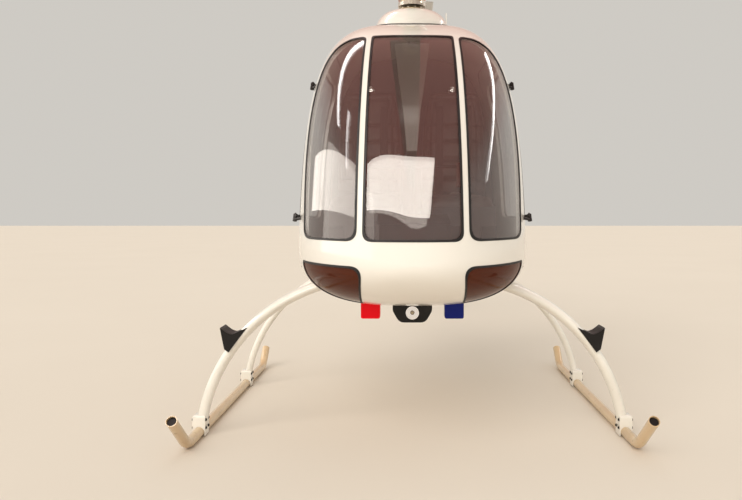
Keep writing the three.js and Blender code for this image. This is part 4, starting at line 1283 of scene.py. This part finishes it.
# Main rotor: two painted grey metal blades, each with a steel guard over its leading edge,
# bolted steel plates over and under its root, a trim tab and a tapered tip. The plates' bolts
# and the head's grips hold them.
BLADE_Z, BLADE_CHORD, BLADE_THICKNESS = 2.37, 0.18, 0.020
ROOT_START, ROTOR_RADIUS = 0.4304, 3.35
TRAILING_EDGE = 0.0006
BLADE_STATIONS = [
    # (span, scale of the chord, scale of the thickness)
    (ROOT_START, 1, 1),
    (0.5, 1, 1),
    (0.6, 1, 1),
    (0.9, 1, 1),
    (1.4, 1, 1),
    (2.0, 1, 1),
    (2.6, 1, 1),
    (3.1, 1, 1),
    (3.29, 1, 1),
    (3.315, 1, 0.93),
    (3.335, 0.99, 0.8),
    (ROTOR_RADIUS, 0.97, 0.55),
]
GUARD_START, GUARD_END, GUARD_DEPTH = 1.25, 3.28, 0.075
PLATE_THICKNESS = 0.0022
ROOT_PLATE = [
    # (along the chord, span)
    (-0.040, 0.440),
    (0.062, 0.440),
    (0.052, 0.62),
    (0.030, 0.70),
    (0.0, 0.72),
    (-0.026, 0.69),
    (-0.036, 0.62),
]
ROOT_BOLTS = [
    (-0.018, 0.47),
    (0.034, 0.47),
    (-0.014, 0.54),
    (0.030, 0.54),
    (0.006, 0.61),
    (0.006, 0.67),
]
TAB_START, TAB_END = 2.35, 2.52
TAB_SECTION = [(0.130, 0.0008), (0.156, 0.0006), (0.156, -0.0006), (0.130, -0.0008)]


def section_height(u):
    """Half thickness of the blade's section at u of its chord, for a thickness of 1.

    A square root rounds the nose, and a quartic draws the rest down to the trailing edge.
    """
    return 1.4845 * np.sqrt(u) - 0.63 * u - 1.758 * u**2 + 1.4215 * u**3 - 0.5075 * u**4


def aerofoil(thickness, steps=26):
    """Closed outline of a symmetric section: (along the chord from its quarter point, up).

    Cosine spacing crowds its points at both edges.
    """
    u = (1 - np.cos(np.linspace(0, math.pi, steps))) / 2
    up = np.maximum(thickness * section_height(u), TRAILING_EDGE * (u > 0))
    upper, lower = np.stack([u - 0.25, up], -1)[::-1], np.stack([u - 0.25, -up], -1)[1:]
    return np.concatenate([upper, lower])


def wing(name, stations, thickness, place, steps=26):
    """A blade or fin through stations (span, chord, thickness scale); place maps it to space."""
    profile = aerofoil(thickness, steps)
    rings = []
    for span, chord, height in stations:
        rings.append([place(span, a * chord, b * height) for a, b in profile])
    return body_over(name, np.array(rings))


for direction, node in ((-1, "main_blade_front"), (1, "main_blade_rear")):

    def blade_place(span, a, b):
        """A point of this blade: a along the chord, b up."""
        return (direction * a, MAST_Y + direction * span, BLADE_Z + b)

    def on_face(span, a, up, lift):
        """A point lift above the upper face, or below the lower one when up is -1."""
        u = np.clip(a / BLADE_CHORD + 0.25, 0.001, 1)
        return blade_place(span, a, up * (BLADE_THICKNESS * section_height(u) + lift))

    stations = [(span, BLADE_CHORD * chord, height) for span, chord, height in BLADE_STATIONS]
    blade = wing(f"{node}_fine", stations, BLADE_THICKNESS, blade_place)
    finished(blade, blade_paint, "main_rotor", 40)
    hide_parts(node)

    edge = aerofoil(BLADE_THICKNESS)
    edge = edge[np.abs(edge[:, 0] + 0.25) < GUARD_DEPTH]
    rows = []
    for span in np.linspace(GUARD_START, GUARD_END, 20):
        outside = [blade_place(span, a * BLADE_CHORD - 0.0004, b * 1.035) for a, b in edge]
        inside = [blade_place(span, a * BLADE_CHORD + 0.001, b * 0.97) for a, b in edge[::-1]]
        rows.append(outside + inside)
    rows = np.array(rows)
    guard = made(f"{node}_edge_guard", rows, lathe(rows, flip=direction > 0))
    finished(guard, steel, "main_rotor", 40)

    fittings = []
    for up in (1, -1):
        low = [on_face(span, a, up, -0.001) for a, span in ROOT_PLATE]
        high = [on_face(span, a, up, PLATE_THICKNESS) for a, span in ROOT_PLATE]
        rows = np.array([low, high])
        fittings.append(made("plate", rows, lathe(rows, flip=up > 0)))
        for a, span in ROOT_BOLTS:
            place = np.array(on_face(span, a, up, PLATE_THICKNESS))
            fittings.append(stud("bolt", place, (0, 0, up), 0.0062, 0.004))
    finished(joined(f"{node}_root_plates", fittings), steel, "main_rotor", 35)

    tab = [[blade_place(span, a, b) for a, b in TAB_SECTION] for span in (TAB_START, TAB_END)]
    tab = np.array(tab)
    finished(made(f"{node}_trim_tab", tab, lathe(tab, flip=direction > 0)), steel, "main_rotor")

# Rotor head: turned bolts, teeter caps, collars and nuts of brassy metal on the grips and the
# mast, and bright rod ends with lock nuts on the two pitch links. The profiles give the
# distance from a piece's foot, and its radius.
GRIP_BOLT = [
    (-0.001, 0.010),
    (0.0015, 0.010),
    (0.0016, 0.0078),
    (0.0075, 0.0078),
    (0.009, 0.006),
    (0.013, 0.0045),
]
TEETER_CAP = [(-0.004, 0.022), (0.004, 0.022), (0.008, 0.016), (0.014, 0.012), (0.018, 0.006)]
SWASH_COLLAR = [
    (0, 0.0245),
    (0, 0.060),
    (0.004, 0.064),
    (0.018, 0.064),
    (0.022, 0.058),
    (0.026, 0.034),
    (0.040, 0.030),
    (0.041, 0.0245),
]
MAST_NUT = [(0, 0.024), (0, 0.033), (0.014, 0.033), (0.016, 0.031), (0.016, 0.024)]
MAST_CAP = [(-0.012, 0.021), (-0.0005, 0.021), (0.0, 0.019), (0.0, 0.001)]
ROD_END = [(0, 0.007), (0.002, 0.0135), (0.016, 0.0135), (0.018, 0.007)]
LOCK_NUT = [(0, 0.0105), (0.008, 0.0105)]

head = []
for direction in (-1, 1):
    for along in (0.11, 0.16, 0.34, 0.40):
        for across in (-0.026, 0.026):
            for up in (1, -1):
                place = (across, MAST_Y + direction * along, BLADE_Z + up * 0.018)
                line = (place, np.array(place) + (0, 0, up))
                head.append(turned("bolt", line, GRIP_BOLT, 18))
    line = ((direction * 0.052, MAST_Y, BLADE_Z), (direction * 2, MAST_Y, BLADE_Z))
    head.append(turned("cap", line, TEETER_CAP))
finished(joined("rotor_head_bolts", head), bronze, "main_rotor", 35)

collars = []
for name, height, profile, columns in (
    ("collar", 2.232, SWASH_COLLAR, 48),
    ("nut", 2.30, MAST_NUT, 6),
    ("cap", BLADE_Z + 0.038, MAST_CAP, 6),
):
    line = ((0, MAST_Y, height), (0, MAST_Y, height + 1))
    collars.append(turned(name, line, profile, columns))
finished(joined("mast_collars", collars), bronze, "main_rotor", 35)

links = []
for direction in (-1, 1):
    low = np.array((-direction * 0.060, MAST_Y + direction * 0.040, 2.222))
    high = np.array((-direction * 0.088, MAST_Y + direction * 0.140, BLADE_Z - 0.018))
    span = np.linalg.norm(high - low)
    line = (high - low) / span
    for name, start, profile, columns in (
        ("rod_end", 0.006, ROD_END, 24),
        ("rod_end", span - 0.028, ROD_END, 24),
        ("lock_nut", 0.034, LOCK_NUT, 6),
        ("lock_nut", span - 0.042, LOCK_NUT, 6),
    ):
        links.append(turned(name, (low + line * start, high), profile, columns))
finished(joined("pitch_link_ends", links), chrome, "main_rotor", 35)

# Tail boom: a thin tapered metal tube, painted white, that runs out of the cowl and ends in a
# rounded cap. Steel and black clamp bands around it hold the fittings that it carries.
BOOM_PROFILE = [
    # (Y, radius)
    (0.62, 0.060),
    (0.96, 0.060),
    (3.16, 0.040),
    (3.738, 0.0342),
    (3.745, 0.030),
    (3.749, 0.020),
    (3.75, 0.006),
]
TAIL_ROTOR_Y, RING_RADIUS, RING_TUBE, RING_GAP, TAIL_PLANE_X = 3.22, 0.465, 0.020, 0.062, 0.112
BANDS = [
    # (Y, length, height over the boom, finish)
    (0.916, 0.030, 0.006, black),
    (1.45, 0.022, 0.0022, steel),
    (1.95, 0.022, 0.0022, steel),
    (2.375, 0.026, 0.003, black),
    (2.530, 0.026, 0.003, black),
    (2.72, 0.020, 0.0022, steel),
    (3.105, 0.020, 0.0025, steel),
    (3.335, 0.020, 0.0025, steel),
]


def boom_radius(y):
    """Radius of the boom's taper at y."""
    return np.interp(y, [0.96, 3.16, 3.75], [0.060, 0.040, 0.034])


boom = turned("tail_boom_fine", ((0, 0, BOOM_Z), (0, 1, BOOM_Z)), BOOM_PROFILE, 56)
finished(boom, white, smooth=35)
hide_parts("tail_boom")


for number, (y, length, lift, finish) in enumerate(BANDS):
    radius, half = boom_radius(y) + lift, length / 2
    profile = [(-half, radius - 0.003), (-half + 0.0015, radius)]
    profile += [(-along, reach) for along, reach in profile[::-1]]
    clamp = turned(f"boom_band_{number}", ((0, y, BOOM_Z), (0, y + 1, BOOM_Z)), profile, 56)
    finished(clamp, finish, smooth=40)

# Tail guard: two half rings of white painted tube around the tail rotor, welded to the boom
# by short feet. The lower one has the bent keel of the tail skid under it.
for s, node in ((1, "tail_guard_upper"), (-1, "tail_guard_lower")):
    start = math.asin(RING_GAP / RING_RADIUS)
    turn = np.linspace(start, math.pi - start, 72)
    y, z = TAIL_ROTOR_Y - RING_RADIUS * np.cos(turn), BOOM_Z + s * RING_RADIUS * np.sin(turn)
    arc = np.stack([0 * turn, y, z], -1)
    reach = RING_RADIUS * math.cos(start)
    pieces = [bar("ring", arc, (RING_TUBE, RING_TUBE), columns=28)]
    for y in (TAIL_ROTOR_Y - reach, TAIL_ROTOR_Y + reach - 0.030):
        profile = [(0.030, 0.0198), (0.062, 0.0198), (0.0745, 0.0198), (0.0755, 0.019)]
        pieces.append(turned("foot", ((0, y, BOOM_Z), (0, y, BOOM_Z + s)), profile, 32))
    if s < 0:
        keel = between([(-0.12, 0.012), (-0.04, -0.080), (0.06, -0.112), (0.12, -0.102)], 6)
        keel = [(0, TAIL_ROTOR_Y + a, BOOM_Z - RING_RADIUS + b) for a, b in keel]
        pieces.append(bar("keel", keel, (0.009, 0.009), columns=16))
    guard = joined(f"{node}_fine", pieces)
    finished(guard, white, smooth=40)
    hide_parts(node)

# Stabiliser: a white painted fin across the boom, on a saddle under it, with an upright plate
# fixed to each end.
STABILISER_Y, STABILISER_Z, HALF_SPAN = 2.42, BOOM_Z - 0.056, 0.56
STABILISER_CHORD, STABILISER_THICKNESS = 0.23, 0.024


def fin_place(span, a, b):
    """A point of the stabiliser: a along the chord, b up."""
    return (span, STABILISER_Y + a, STABILISER_Z + b)


stations = [(span, STABILISER_CHORD, 1) for span in np.linspace(-HALF_SPAN, HALF_SPAN, 9)]
fin = wing("stabiliser_fine", stations, STABILISER_THICKNESS, fin_place)
plate_corners = [
    (STABILISER_Y - 0.085, BOOM_Z - 0.240, 0.03),
    (STABILISER_Y + 0.115, BOOM_Z - 0.240, 0.03),
    (STABILISER_Y + 0.155, BOOM_Z + 0.130, 0.03),
    (STABILISER_Y - 0.020, BOOM_Z + 0.130, 0.03),
]
plates = [
    prism("side", plate_corners, HALF_SPAN - 0.002, HALF_SPAN + 0.012),
    prism("side", plate_corners, -HALF_SPAN - 0.012, -HALF_SPAN + 0.002),
]
low_corner = (-0.026, STABILISER_Y - 0.04, BOOM_Z - 0.066)
saddle_block = box(low_corner, (0.026, STABILISER_Y + 0.12, BOOM_Z - 0.04))
for plate in plates:
    modifier = plate.modifiers.new("edge", "BEVEL")
    modifier.width = 0.004
    modifier.segments = 3
    modifier.limit_method = "ANGLE"
    modifier.angle_limit = math.radians(50)
    finished(plate, white, smooth=40)
    plate.name = "stabiliser_end_plate"
finished(fin, white, smooth=35)
finished(saddle_block, white)
saddle_block.name = "stabiliser_saddle"
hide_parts("stabiliser")

# Tail rotor: two painted grey metal blades with dark bands near their tips, which the hub
# clamps on the gearbox's shaft.
TAIL_THICKNESS, TAIL_STEPS, TAIL_HALF_HUB = 0.011, 20, 0.014
TAIL_STATIONS = [
    # (span, chord, scale of the thickness)
    (0.070, 0.07, 1.3),
    (0.10, 0.08, 1.1),
    (0.14, 0.095, 1),
    (0.25, 0.095, 1),
    (0.40, 0.095, 1),
    (0.409, 0.093, 0.8),
    (0.412, 0.09, 0.5),
]
TIP_BAND = [(0.345, 0.0965, 1.09), (0.385, 0.0965, 1.09)]
for s in (1, -1):

    def tail_place(span, a, b):
        """A point of this tail blade: a along the chord, b through the blade."""
        return (TAIL_PLANE_X + b, TAIL_ROTOR_Y + s * a, BOOM_Z + s * span)

    blade = wing("tail_blade", TAIL_STATIONS, TAIL_THICKNESS, tail_place, TAIL_STEPS)
    finished(blade, blade_paint, "tail_rotor", 40)
    if s > 0:
        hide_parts("tail_rotor")
    tip = wing("tail_blade_tip_band", TIP_BAND, TAIL_THICKNESS, tail_place, TAIL_STEPS)
    finished(tip, black, "tail_rotor", 40)

# Hub and gearbox fittings: a steel shaft and a bolted steel block on the rotor, and flange
# bolts and a filler cap on the gearbox. The profiles give the distance from a piece's foot, and
# its radius.
TAIL_SHAFT = [(0, 0.016), (0.0, 0.016), (0.050, 0.016), (0.056, 0.013), (0.0636, 0.011)]
HUB_BOLT = [(-0.001, 0.0065), (0.0055, 0.0065), (0.0065, 0.005)]
FLANGE_BOLT = [(0, 0.0042), (0.005, 0.0042), (0.006, 0.003)]
FILLER_CAP = [(0, 0.010), (0.010, 0.010), (0.011, 0.0125), (0.018, 0.0125), (0.020, 0.010)]
FLANGE_CIRCLE = 0.038

shaft_line = ((0.0784, TAIL_ROTOR_Y, BOOM_Z), (1, TAIL_ROTOR_Y, BOOM_Z))
low_corner = (TAIL_PLANE_X - TAIL_HALF_HUB, TAIL_ROTOR_Y - 0.024, BOOM_Z - 0.095)
high_corner = (TAIL_PLANE_X + TAIL_HALF_HUB, TAIL_ROTOR_Y + 0.024, BOOM_Z + 0.095)
hub = [turned("shaft", shaft_line, TAIL_SHAFT), box(low_corner, high_corner)]
for s in (1, -1):
    for y, z in ((-0.012, 0.080), (0.012, 0.080), (-0.012, 0.055), (0.012, 0.055)):
        for x in (1, -1):
            place = np.array((TAIL_PLANE_X + x * TAIL_HALF_HUB, TAIL_ROTOR_Y + y, BOOM_Z + s * z))
            hub.append(turned("bolt", (place, place + (x, 0, 0)), HUB_BOLT, 18))
finished(joined("tail_rotor_hub", hub), steel, "tail_rotor", 35)
gearbox = []
for number in range(8):
    turn = number * math.pi / 4 + 0.3
    y, z = FLANGE_CIRCLE * math.cos(turn), FLANGE_CIRCLE * math.sin(turn)
    place = np.array((0.052, TAIL_ROTOR_Y + y, BOOM_Z + z))
    gearbox.append(turned("bolt", (place, place - (1, 0, 0)), FLANGE_BOLT, 12))
filler_line = ((0.062, TAIL_ROTOR_Y, BOOM_Z + 0.044), (0.062, TAIL_ROTOR_Y, 3))
gearbox.append(turned("filler_cap", filler_line, FILLER_CAP, 24))
finished(joined("gearbox_bolts", gearbox), steel, smooth=35)

# Seats: a moulded grey shell for each of the two, fixed to the floor and the bulkhead, with a
# stuffed leather base and back that have sewn channels and a dark border. Flat black webbing
# belts run over the pads to a steel buckle.
FLOOR_Z, BULKHEAD_Y = 0.8, -0.06
SEAT_X, SEAT_LOW_X, SEAT_HIGH_X = 0.25, 0.056, 0.444
# The leather's dark border, by the distance from a pad's middle line and by height.
BORDER_START, BORDER_END = 0.0160, 0.0174
BORDER_TOP_START, BORDER_TOP_END = 1.738, 1.741

leather = Finish("brown_leather", Coat_Weight=0.15, Coat_Roughness=0.35)
cells = {"Vector": leather.place(), "Scale": 210.0}
creases = leather.node("ShaderNodeTexVoronoi", {"feature": "DISTANCE_TO_EDGE"}, cells)
rubbed = leather.ramp(leather.noise(7, 5), 0.4, 0.8)
place = leather.node("ShaderNodeTexCoord", output="Object")
across = leather.node("ShaderNodeSeparateXYZ", (), {0: place})
from_middle = ((across**2) ** 0.5 - SEAT_X) ** 2
border = leather.ramp(from_middle, BORDER_START, BORDER_END).most(
    leather.ramp(leather.height(), BORDER_TOP_START, BORDER_TOP_END)
)
face_tone = leather.mix(rubbed, (0.080, 0.062, 0.052), (0.135, 0.105, 0.088))
border_tone = leather.mix(rubbed, (0.034, 0.013, 0.010), (0.085, 0.036, 0.026))
leather.set("Base Color", leather.mix(border, face_tone, border_tone))
leather.set("Roughness", rubbed * 0.14 + 0.46 - leather.ramp(creases, 0.0, 0.12) * 0.06)
leather.bump(leather.ramp(creases, 0.0, 0.18) + leather.noise(30, 4) * 0.8, 0.12, 0.0008)

webbing = Finish("black_webbing")
ribs = {"Vector": webbing.place(), "Scale": 260.0, "Distortion": 1.0}
weave = webbing.node("ShaderNodeTexWave", {"bands_direction": "DIAGONAL"}, ribs)
webbing.set("Base Color", webbing.mix(weave, (0.020, 0.019, 0.019), (0.050, 0.047, 0.044)))
webbing.set("Roughness", weave * 0.15 + 0.7)
webbing.bump(weave, 0.4, 0.0005)

SEAT_SIDE = [
    # (y, z, corner radius) of the moulded shell, seen from the side
    (-0.685, FLOOR_Z + 0.001, 0.01),
    (BULKHEAD_Y - 0.001, FLOOR_Z + 0.001, 0.01),
    (BULKHEAD_Y - 0.001, 1.788, 0.02),
    (BULKHEAD_Y - 0.034, 1.788, 0.02),
    (BULKHEAD_Y - 0.070, 1.16, 0.06),
    (-0.670, 1.092, 0.05),
]
SEAT_FRONT = [
    # (x, z, corner radius) of the left shell, seen from the front
    (SEAT_LOW_X, 0.7, 0),
    (SEAT_HIGH_X, 0.7, 0),
    (SEAT_HIGH_X, 1.54, 0.02),
    (0.392, 1.79, 0.07),
    (0.106, 1.79, 0.05),
    (SEAT_LOW_X, 1.49, 0.02),
]
BASE_PAD = [
    # (y, z of the spine, y, z of the way that the pad faces, near and far edge)
    (-0.655, 1.085, -0.35, 1, 0.074, 0.426),
    (-0.56, 1.104, -0.05, 1, 0.064, 0.436),
    (-0.42, 1.094, 0.02, 1, 0.060, 0.440),
    (-0.29, 1.088, -0.05, 1, 0.060, 0.440),
    (-0.215, 1.105, -0.3, 1, 0.066, 0.434),
]
BACK_PAD = [
    (-0.166, 1.135, -1, 0.22, 0.066, 0.434),
    (-0.150, 1.25, -1, 0.12, 0.060, 0.440),
    (-0.138, 1.40, -1, 0.08, 0.060, 0.440),
    (-0.125, 1.53, -1, 0.08, 0.064, 0.436),
    (-0.114, 1.65, -1, 0.06, 0.080, 0.424),
    (-0.106, 1.784, -1, 0.06, 0.108, 0.396),
]
PADS = [
    # (name, table, thickness, places of the channels along the spine)
    ("seat_cushion", BASE_PAD, 0.052, (0.28, 0.46, 0.64)),
    ("seat_back", BACK_PAD, 0.056, (0.20, 0.36, 0.52, 0.68, 0.935)),
]
STRAP_SIZE = (0.0012, 0.023)
SHOULDER_STRAP = [
    # (scale of x, y, z)
    (1, -0.158, 1.70),
    (1, -0.180, 1.66),
    (1, -0.200, 1.55),
    (0.99, -0.220, 1.40),
    (0.98, -0.236, 1.25),
    (0.95, -0.270, 1.172),
]
LAP_STRAP = [
    # (share of the way to the seat's middle, y, z)
    (0, -0.215, 1.145),
    (0.015, -0.29, 1.162),
    (0.55, -0.345, 1.158),
    (0.9, -0.36, 1.160),
]
BUCKLE = [
    (0, 0.030),
    (0.002, 0.034),
    (0.009, 0.034),
    (0.012, 0.028),
    (0.013, 0.012),
    (0.0135, 0.002),
]


def cushion(name, table, thickness, channels, side):
    """A closed pad along a table's spine, crowned by powers of the way across and along it.

    A narrow bell curve pulls it in at each channel and beside its welts, and its back is flat.
    """
    rows, columns = 72, 64
    spine = []
    for y, z, out_y, out_z, near, far in table:
        spine.append((y, z, out_y, out_z, *sorted((side * near, side * far))))
    smooth = between(spine, 12)
    at = np.linspace(0, len(smooth) - 1, rows)
    smooth = np.array([np.interp(at, np.arange(len(smooth)), column) for column in smooth.T]).T
    y, z, low, high = (smooth[:, [column]] for column in (0, 1, 4, 5))
    direction = smooth[:, 2:4] / np.linalg.norm(smooth[:, 2:4], axis=1, keepdims=True)

    t = np.linspace(0, 1, rows)[:, None]
    v = 2 * t - 1
    ends = (1 - np.abs(v) ** 9) ** 0.45
    plump = np.clip(1 - 0.16 * v**2, 0, 1)
    for channel in channels:
        plump = plump * (1 - 0.30 * np.exp(-(((t - channel) / 0.012) ** 2)))

    angle = 2 * math.pi * (np.arange(columns) + 0.5) / columns
    across, depth = np.cos(angle), np.sin(angle)
    across = np.sign(across) * np.abs(across) ** 0.42
    depth = np.sign(depth) * np.abs(depth) ** 0.55
    welt = 1 - 0.22 * np.exp(-(((np.abs(across) - 0.74) / 0.035) ** 2))
    pull = 1 - 0.018 * np.cos(v * math.pi) * (np.abs(across) > 0.9)
    x = (low + high) / 2 + (high - low) / 2 * across * (0.93 + 0.07 * ends) * pull
    face = np.where(depth > 0, depth * plump * welt, depth * 0.35)
    lift = thickness * ends * face * (1 + 0.05 * (1 - across**2))
    rings = np.stack([x, y + direction[:, :1] * lift, z + direction[:, 1:] * lift], -1)
    return body_over(name, rings, 30)


for side, hand in ((1, "left"), (-1, "right")):
    ends = sorted((side * SEAT_LOW_X, side * SEAT_HIGH_X))
    shell = prism("side", SEAT_SIDE, *ends)
    carve(shell, ("INTERSECT", [sided(prism("front", SEAT_FRONT, -0.9, 0), side)]))
    shell.name = f"seat_shell_{hand}"
    finished(shell, lining, smooth=35)
    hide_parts(f"seat_{hand}")
    for name, table, thickness, channels in PADS:
        pad = cushion(f"{name}_{hand}", table, thickness, channels, side)
        finished(pad, leather, smooth=70)

    # Shoulder and lap belts: flat webbing over the pads, with a round buckle.
    centre = side * SEAT_X
    straps = []
    for x in (centre - side * 0.085, centre + side * 0.085):
        line = [(x * scale, y, z) for scale, y, z in SHOULDER_STRAP]
        straps.append(bar("strap", between(line, 8), STRAP_SIZE, (1, 0, 0), 12))
    for x in (side * 0.075, side * 0.425):
        line = [(mix(x, centre, share), y, z) for share, y, z in LAP_STRAP]
        straps.append(bar("strap", between(line, 8), STRAP_SIZE, (0.0, 0.75, 0.66), 12))
    finished(joined(f"seat_belts_{hand}", straps), webbing, smooth=40)
    place = np.array((centre, -0.362, 1.158))
    buckle = turned(f"belt_buckle_{hand}", (place, place + (0, -0.25, 1)), BUCKLE, 40)
    finished(buckle, steel, smooth=40)

# Column cover: the box around the mast column between the seats, in pale satin paint. Bright
# turned guides with bent loops are screwed on above the seats and take the shoulder belts.
GUIDE = [
    (0, 0.017),
    (0.003, 0.017),
    (0.004, 0.010),
    (0.016, 0.010),
    (0.019, 0.013),
    (0.023, 0.012),
    (0.0245, 0.004),
]
cover_paint = painted("column_cover_paint", (0.46, 0.42, 0.36), (0.33, 0.30, 0.25), 0.42, 0.15)
dress(cover_paint, "mast_column")
guides = []
for x in (-SEAT_X, SEAT_X):
    place = np.array((x, -0.066, 1.812))
    guides.append(turned("guide", (place, place + (0, -1, 0)), GUIDE, 24))
    for way in (-1, 1):
        line = [
            place + (way * 0.004, -0.012, 0.004),
            place + (way * 0.022, -0.016, -0.006),
            place + (way * 0.026, -0.018, -0.030),
        ]
        guides.append(bar("loop", between(line, 6), (0.0028, 0.0028), (0, 1, 0), 10))
finished(joined("belt_guides", guides), chrome, smooth=40)

# Console: a panel with round instruments in black rims, painted marks and needles that glow
# faintly with painted light, and steel switches in a row. Places on it are measured across and
# down from the middle of its upper edge.
PANEL_FRONT = np.array((0, -1.290, 1.010))
PANEL_DOWN = np.array((0, 0.028, -0.2081))
PANEL_DOWN /= np.linalg.norm(PANEL_DOWN)
PANEL_OUT = np.cross(PANEL_DOWN, (1, 0, 0))
PANEL_OUT = PANEL_OUT * np.sign(PANEL_OUT[1])
DIALS = [
    # (across, down, radius)
    (-0.095, 0.040, 0.036),
    (-0.005, 0.040, 0.036),
    (0.085, 0.040, 0.036),
    (-0.100, 0.118, 0.026),
    (-0.040, 0.118, 0.026),
    (0.085, 0.125, 0.036),
]
# Profiles out from the panel; the dials' radii are shares of their own.
DIAL_RIM = [(-0.001, 1), (0.005, 1), (0.006, 0.97), (0.005, 0.90), (0.0015, 0.88)]
DIAL_FACE = [(-0.001, 0.885), (0.0025, 0.885)]
SWITCH_NUT = [(-0.001, 0.006), (0.0025, 0.006)]
TOGGLE = [(0, 0.0022), (0.010, 0.0026), (0.014, 0.0024), (0.015, 0.001)]
SWITCH_START, SWITCH_STEP, SWITCH_DOWN = -0.11, 0.024, 0.168
MARK_COLOUR = (0.75, 0.74, 0.70)
dial_face = Finish("dial_face", Base_Color=(0.012, 0.012, 0.013), Roughness=0.5)
dial_mark_painted_glow = Finish("dial_mark_painted_glow", Base_Color=MARK_COLOUR, Roughness=0.6)
# The marks' faint glow is painted light: they are paint, not lamps.
dial_mark_painted_glow.set("Emission Color", MARK_COLOUR).set("Emission Strength", 0.15)


def on_panel(across, down, out=0.0):
    """A point on the panel, or out from it."""
    return PANEL_FRONT + np.array((across, 0, 0)) + PANEL_DOWN * down + PANEL_OUT * out


def dial_ray(degrees):
    """Direction in the panel's plane, counted from the right hand upwards."""
    turn = math.radians(degrees)
    return np.array((math.cos(turn), 0, 0)) - PANEL_DOWN * math.sin(turn)


rims, faces, marks = [], [], []
for number, (across, down, radius) in enumerate(DIALS):
    place = on_panel(across, down, 0.0005)
    line = (place, place + PANEL_OUT)
    rims.append(turned("rim", line, np.array(DIAL_RIM) * (1, radius), 40))
    faces.append(turned("face", line, np.array(DIAL_FACE) * (1, radius), 40))
    for tick in range(11):
        ray = dial_ray(-225 + tick * 27)
        start = place + PANEL_OUT * 0.003 + ray * radius * 0.68
        line = [start, start + ray * radius * 0.15]
        marks.append(bar("tick", line, (0.0006, 0.0006), PANEL_OUT, 6))
    start = place + PANEL_OUT * 0.0036
    line = [start, start + dial_ray(60 + 70 * number) * radius * 0.62]
    marks.append(bar("needle", line, (0.0009, 0.0009), PANEL_OUT, 6))
finished(joined("dial_rims", rims), black, smooth=40)
finished(joined("dial_faces", faces), dial_face, smooth=40)
finished(joined("dial_marks", marks), dial_mark_painted_glow)
switches = []
for number in range(7):
    place = on_panel(SWITCH_START + number * SWITCH_STEP, SWITCH_DOWN)
    switches.append(turned("nut", (place, place + PANEL_OUT), SWITCH_NUT, 6))
    line = (place, place + PANEL_OUT - PANEL_DOWN * 0.3)
    switches.append(turned("toggle", line, TOGGLE, 12))
finished(joined("console_switches", switches), steel, smooth=40)

# Glare shield: a lip of black vinyl on the console's upper edge that bows forwards and up over
# the panel, by a parabola across it.
BROW_HALF_WIDTH, BROW_Y, BROW_Z = 0.158, -1.292, 1.030
BROW_SECTION = [(0, 0), (0.052, -0.006), (0.054, -0.010), (0.050, -0.013), (0, -0.006)]
brow = []
for x in np.linspace(-0.156, 0.156, 40):
    bow = 1 - (x / BROW_HALF_WIDTH) ** 2
    y, z = BROW_Y - 0.03 * bow, BROW_Z + 0.022 * bow
    brow.append([(x, y + back, z + up) for back, up in BROW_SECTION])
brow = np.array(brow)
vinyl = rubber("console_vinyl", (0.016, 0.015, 0.015), 0.7, 700)
finished(made("glare_shield", brow, lathe(brow)), vinyl, smooth=60)

# Controls: reddish moulded grips on the bent ends of the cyclic stick and the collective
# lever, and rubber boots where the two go through the floor, which has a dark carpet.
CYCLIC_GRIP = [
    (-0.022, 0.004),
    (-0.018, 0.015),
    (-0.010, 0.0185),
    (0.006, 0.0175),
    (0.030, 0.0165),
    (0.040, 0.0185),
    (0.052, 0.0165),
    (0.078, 0.0165),
    (0.092, 0.019),
    (0.104, 0.0205),
    (0.109, 0.014),
]
COLLECTIVE_GRIP = [
    (-0.004, 0.018),
    (0.01, 0.0195),
    (0.05, 0.0185),
    (0.09, 0.0195),
    (0.130, 0.0205),
    (0.142, 0.012),
]
BELLOWS = [
    (0.002, 0.062),
    (0.006, 0.064),
    (0.010, 0.054),
    (0.016, 0.060),
    (0.022, 0.047),
    (0.029, 0.053),
    (0.036, 0.039),
    (0.044, 0.044),
    (0.052, 0.029),
    (0.062, 0.032),
    (0.072, 0.019),
    (0.085, 0.0145),
]
BOOT = [
    (0.002, 0.045),
    (0.008, 0.046),
    (0.020, 0.036),
    (0.040, 0.030),
    (0.060, 0.022),
    (0.075, 0.0145),
]
grips = []
for side in (1, -1):
    line = ((side * 0.24, -0.84, 1.29), (side * 0.24, -0.855, 1.18))
    grips.append(turned("grip", line, between(CYCLIC_GRIP, 4), 28))
line = ((0, -0.60, 1.018), (0, -0.72, 1.087))
grips.append(turned("grip", line, between(COLLECTIVE_GRIP, 4), 28))
grip_rubber = rubber("reddish_grip_rubber", (0.16, 0.035, 0.020), 0.55, 500)
finished(joined("control_grips", grips), grip_rubber, smooth=50)
line = ((0, -0.86, FLOOR_Z), (0, -0.8565, 1.2))
finished(turned("cyclic_boot", line, between(BELLOWS, 3), 40), grip_rubber, smooth=60)
line = ((0, -0.30, FLOOR_Z), (0, -0.345, 0.86))
finished(turned("collective_boot", line, between(BOOT, 3)), gasket_rubber, smooth=60)
dress(carpet, "cabin_floor")

corners = lambda box: [list(box[0]), list(box[1])]
{"cad": corners(cad_box), "visual": corners(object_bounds())}
